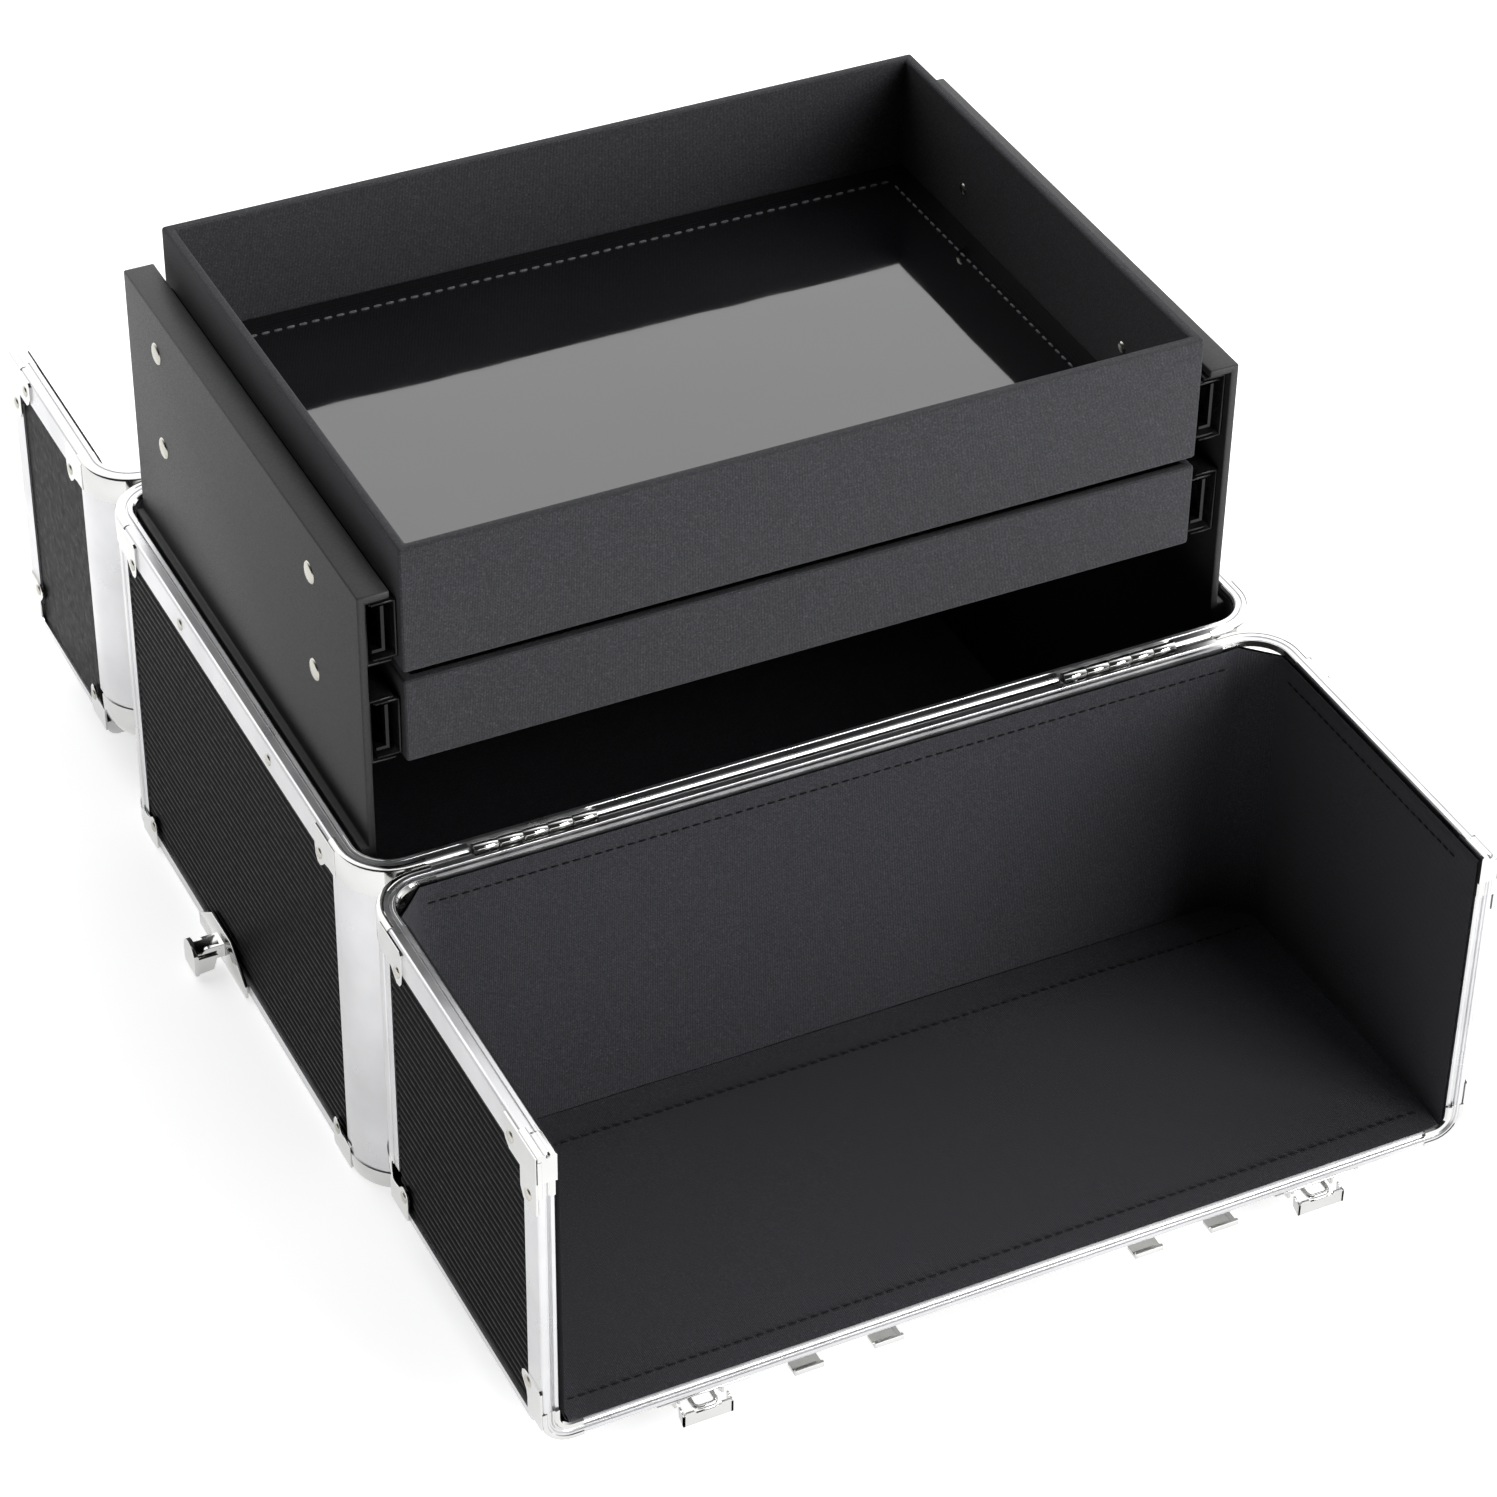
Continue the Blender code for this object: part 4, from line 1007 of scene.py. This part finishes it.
SPOOL_LIP = 0.0016  # the outer plate's thickness
SPOOL_NECK = ((0.0016, 0.0046), (0.0024, 0.0041), (0.0060, 0.0039), (0.0098, 0.0041), (0.0112, 0.0044))


def spool_catches():
    """Each side catch: a neck between an outer plate with a round top and a two-sided skirt."""
    for name, side in (("left", -1), ("right", 1)):
        low, high = node_box(f"side_catch_lever_{name}")
        middle, out = (low.y + high.y) / 2, max(abs(low.x), abs(high.x))
        half, foot, crown = (high.y - low.y) / 2, low.z, high.z
        at = lambda u, v, x: Vector((side * x, middle + u, v))
        shape = Shape()
        top = [(half * math.cos(a), crown - half + half * math.sin(a))
               for a in (math.pi * k / 16 for k in range(17))]
        face = [(half * 0.92, foot), *top, (-half * 0.92, foot)]
        shape.loft([[at(u * s, crown + (v - crown) * s, out - d) for u, v in face]
                    for d, s in ((0.0017, 1.0), (0.0004, 1.0), (0.0, 0.95))])
        centre = crown - half + 0.0002
        shape.loft([[at(r * math.cos(t), centre + r * math.sin(t), out - depth)
                     for t in (2 * math.pi * k / 20 for k in range(20))] for depth, r in SPOOL_NECK])
        skirt = [(out - SPOOL_LIP, foot + 0.0004), (out - SPOOL_LIP, centre), (out - 0.0098, centre),
                 (out - 0.0078, foot + 0.0010)]
        for end in (-half, half):
            shape.loft([[at(end * part, v, x) for x, v in skirt] for part in (0.86, 0.70)])
        shape.make(f"side_catch_spool_{name}", "chrome", f"side_catch_lever_{name}",
                   (f"side_catch_lever_{name}",), CAP_SHARP)


TIP_X, TIP_HALF = (0.052, 0.083), 0.0055
TIP_SECTION = [
    (-0.0012, 0.0148), (-0.0016, 0.0140), (-0.0016, 0.0128), (-0.0010, 0.0121), (0.0050, 0.0121),
    (0.0050, 0.0133), (-0.0002, 0.0133), (-0.0002, 0.0148),
]


def bracket_tips():
    """The folded tips of the handle's brackets, which reach just past the lid's free edge."""
    edge = node_box("front_lid_split_frame")[0].y
    shape = Shape()
    for side in (-1, 1):
        for x in TIP_X:
            shape.loft([[Vector((side * x + dx, edge + y, z)) for y, z in TIP_SECTION]
                        for dx in (-TIP_HALF, TIP_HALF)])
    shape.make("handle_bracket_tips", "chrome", "front_lid")


ARM_HALF, GRIP_HALF = 0.0054, 0.0080  # half widths
GRIP_BEND = 0.010
GRIP_STEPS = 40
GRIP_SHARP = 60
GRIP_THICK = 0.0040  # half of it


def handle_route(low, high):
    """The handle's centre line up one arm, along the grip and down the other, and where its grip starts."""
    arm_x = high.x - 0.0055
    y0, y1 = low.y + 0.0055, high.y - 0.0090
    arm = [(-arm_x, y0), (-arm_x, y0 + 0.010), (-arm_x, y1 - 0.012)]
    arm += [(-arm_x + GRIP_BEND - GRIP_BEND * math.cos(a), y1 - GRIP_BEND + GRIP_BEND * math.sin(a))
            for a in (math.pi / 2 * k / 6 for k in range(1, 7))]
    grip = [(-arm_x + GRIP_BEND + 2 * (arm_x - GRIP_BEND) * k / GRIP_STEPS, y1) for k in range(1, GRIP_STEPS)]
    return [*arm, *grip, *((-x, y) for x, y in reversed(arm))], len(arm)


def handle():
    """A moulded grip between two arms, with a rounded section and finger ribs."""
    low, high = node_box("handle")
    z, thick = (low.z + high.z) / 2, min(GRIP_THICK, (high.z - low.z) / 2)
    route, first = handle_route(low, high)
    rings = []
    for i, (x, y) in enumerate(route):
        a, b = route[max(0, i - 1)], route[min(len(route) - 1, i + 1)]
        along = Vector((b[0] - a[0], b[1] - a[1], 0)).normalized()
        across = Vector((-along.y, along.x, 0))
        wide = ARM_HALF
        if first <= i < len(route) - first:
            wide = GRIP_HALF * (1.0 + 0.10 * math.cos(8 * math.pi * (i - first) / GRIP_STEPS))
        ring = []
        for k in range(20):
            t = 2 * math.pi * k / 20
            c, s = math.cos(t), math.sin(t)
            ring.append(Vector((x, y, z)) + across * (wide * math.copysign(abs(c) ** 0.7, c))
                        + Z * (thick * math.copysign(abs(s) ** 0.7, s)))
        rings.append(ring)
    shape = Shape()
    shape.loft(rings)
    shape.make("handle_grip", "grip", "handle", ("handle",), GRIP_SHARP)


# ---- stage ----

BRIGHT_SIDE = (0.50, 0.80, 0.33)
WORLD_STOPS = ((0.0, 0.01), (0.46, 0.02), (0.60, 0.30), (0.74, 0.95), (1.0, 1.0))
WORLD_STRENGTH = 1.9
FLOOR_HALF, FLOOR_Z, FLOOR_GLOW = 6.0, -0.0005, 0.60
CAMERA_AT = Vector((-0.6030, -1.2751, 1.1509))
CAMERA_YAW = 0.4659
CAMERA_PITCH = -0.6628
CAMERA_ROLL = 0.0178
CAMERA_LENS = 110.27
CAMERA_SHIFT = (-0.0105, 0.0110)


def camera():
    """The photograph's viewing angle, as a yaw from +Y, a pitch and a small roll."""
    cy, sy = math.cos(CAMERA_YAW), math.sin(CAMERA_YAW)
    cp, sp = math.cos(CAMERA_PITCH), math.sin(CAMERA_PITCH)
    forward = Vector((sy * cp, cy * cp, sp))
    right = Vector((cy, -sy, 0))
    up = right.cross(forward)
    cr, sr = math.cos(CAMERA_ROLL), math.sin(CAMERA_ROLL)
    r, u = right * cr + up * sr, up * cr - right * sr
    data = bpy.data.cameras.new("camera")
    obj = bpy.data.objects.new("camera", data)
    bpy.context.collection.objects.link(obj)
    turn = Matrix((r, u, -forward)).transposed()
    obj.matrix_world = Matrix.Translation(CAMERA_AT) @ turn.to_4x4()
    data.lens = CAMERA_LENS
    data.sensor_width = 36
    data.shift_x, data.shift_y = CAMERA_SHIFT
    data.clip_end = 50
    bpy.context.scene.camera = obj


def area_light(name, at, aim, size, power):
    data = bpy.data.lights.new(name, "AREA")
    data.shape = "RECTANGLE"
    data.size, data.size_y = size
    data.energy = power
    obj = bpy.data.objects.new(name, data)
    bpy.context.collection.objects.link(obj)
    obj.location = at
    obj.rotation_euler = (Vector(aim) - Vector(at)).to_track_quat("-Z", "Y").to_euler()


def studio_world():
    """White studio walls behind and to the right, and a dim side to the front and left."""
    world = bpy.data.worlds.new("studio")
    bpy.context.scene.world = world
    world.use_nodes = True
    tree = world.node_tree
    source = tree.nodes.new("ShaderNodeTexCoord")
    dot = tree.nodes.new("ShaderNodeVectorMath")
    dot.operation = "DOT_PRODUCT"
    dot.inputs[1].default_value = BRIGHT_SIDE
    tree.links.new(source.outputs["Generated"], dot.inputs[0])
    value = calc(tree, "ADD", calc(tree, "MULTIPLY", dot.outputs["Value"], 0.5), 0.5)
    stops = tuple((at, (level, level, level)) for at, level in WORLD_STOPS)
    tree.links.new(ramp(tree, value, stops), tree.nodes["Background"].inputs["Color"])
    tree.nodes["Background"].inputs["Strength"].default_value = WORLD_STRENGTH
    bpy.context.scene.view_settings.view_transform = "Standard"


def stage():
    studio_world()
    mat, tree, bsdf = shader("floor_white", (0.80, 0.80, 0.80), 0.9)
    tree.links.new(ramp(tree, noise_value(tree, 3.0), ((0.3, (0.79, 0.79, 0.79)), (0.7, (0.81, 0.81, 0.81)))),
                   bsdf.inputs["Base Color"])
    bsdf.inputs["Emission Color"].default_value = (1, 1, 1, 1)
    bsdf.inputs["Emission Strength"].default_value = FLOOR_GLOW
    mesh = bpy.data.meshes.new("floor")
    half = FLOOR_HALF
    corners = [(-half, -half, 0), (half, -half, 0), (half, half, 0), (-half, half, 0)]
    mesh.from_pydata(corners, [], [(0, 1, 2, 3)])
    mesh.materials.append(mat)
    floor = bpy.data.objects.new("floor", mesh)
    floor.location.z = FLOOR_Z
    bpy.context.collection.objects.link(floor)
    area_light("front_light", (1.2, -2.2, 0.8), (0, 0, 0.15), (1.4, 1.0), 66)
    area_light("top_light", (1.2, 0.7, 2.0), (0, 0, 0.1), (1.4, 1.4), 9)


def main():
    camera()
    body_profiles()
    body_posts()
    body_caps()
    body_lining()
    panel_on("body_front_panel", "y", -1, "x", "root")
    panel_on("body_back_panel", "y", 1, "x", "root")
    panel_on("body_left_panel", "x", -1, "y", "root")
    panel_on("body_right_panel", "x", 1, "y", "root")
    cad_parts["body_floor"].data.materials.clear()
    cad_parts["body_floor"].data.materials.append(MATS["lining"])
    rack()
    trays()
    for name, sy in (("front", -1), ("rear", 1)):
        lid = Lid(name, sy)
        lid_profiles(lid)
        lid_split(lid)
        lid_caps(lid)
        lid_panels(lid)
        lid_lining(lid)
        lid_floor(lid)
        lid_seams(lid)
    fittings()
    latch_hooks()
    spool_catches()
    bracket_tips()
    handle()
    stage()


main()
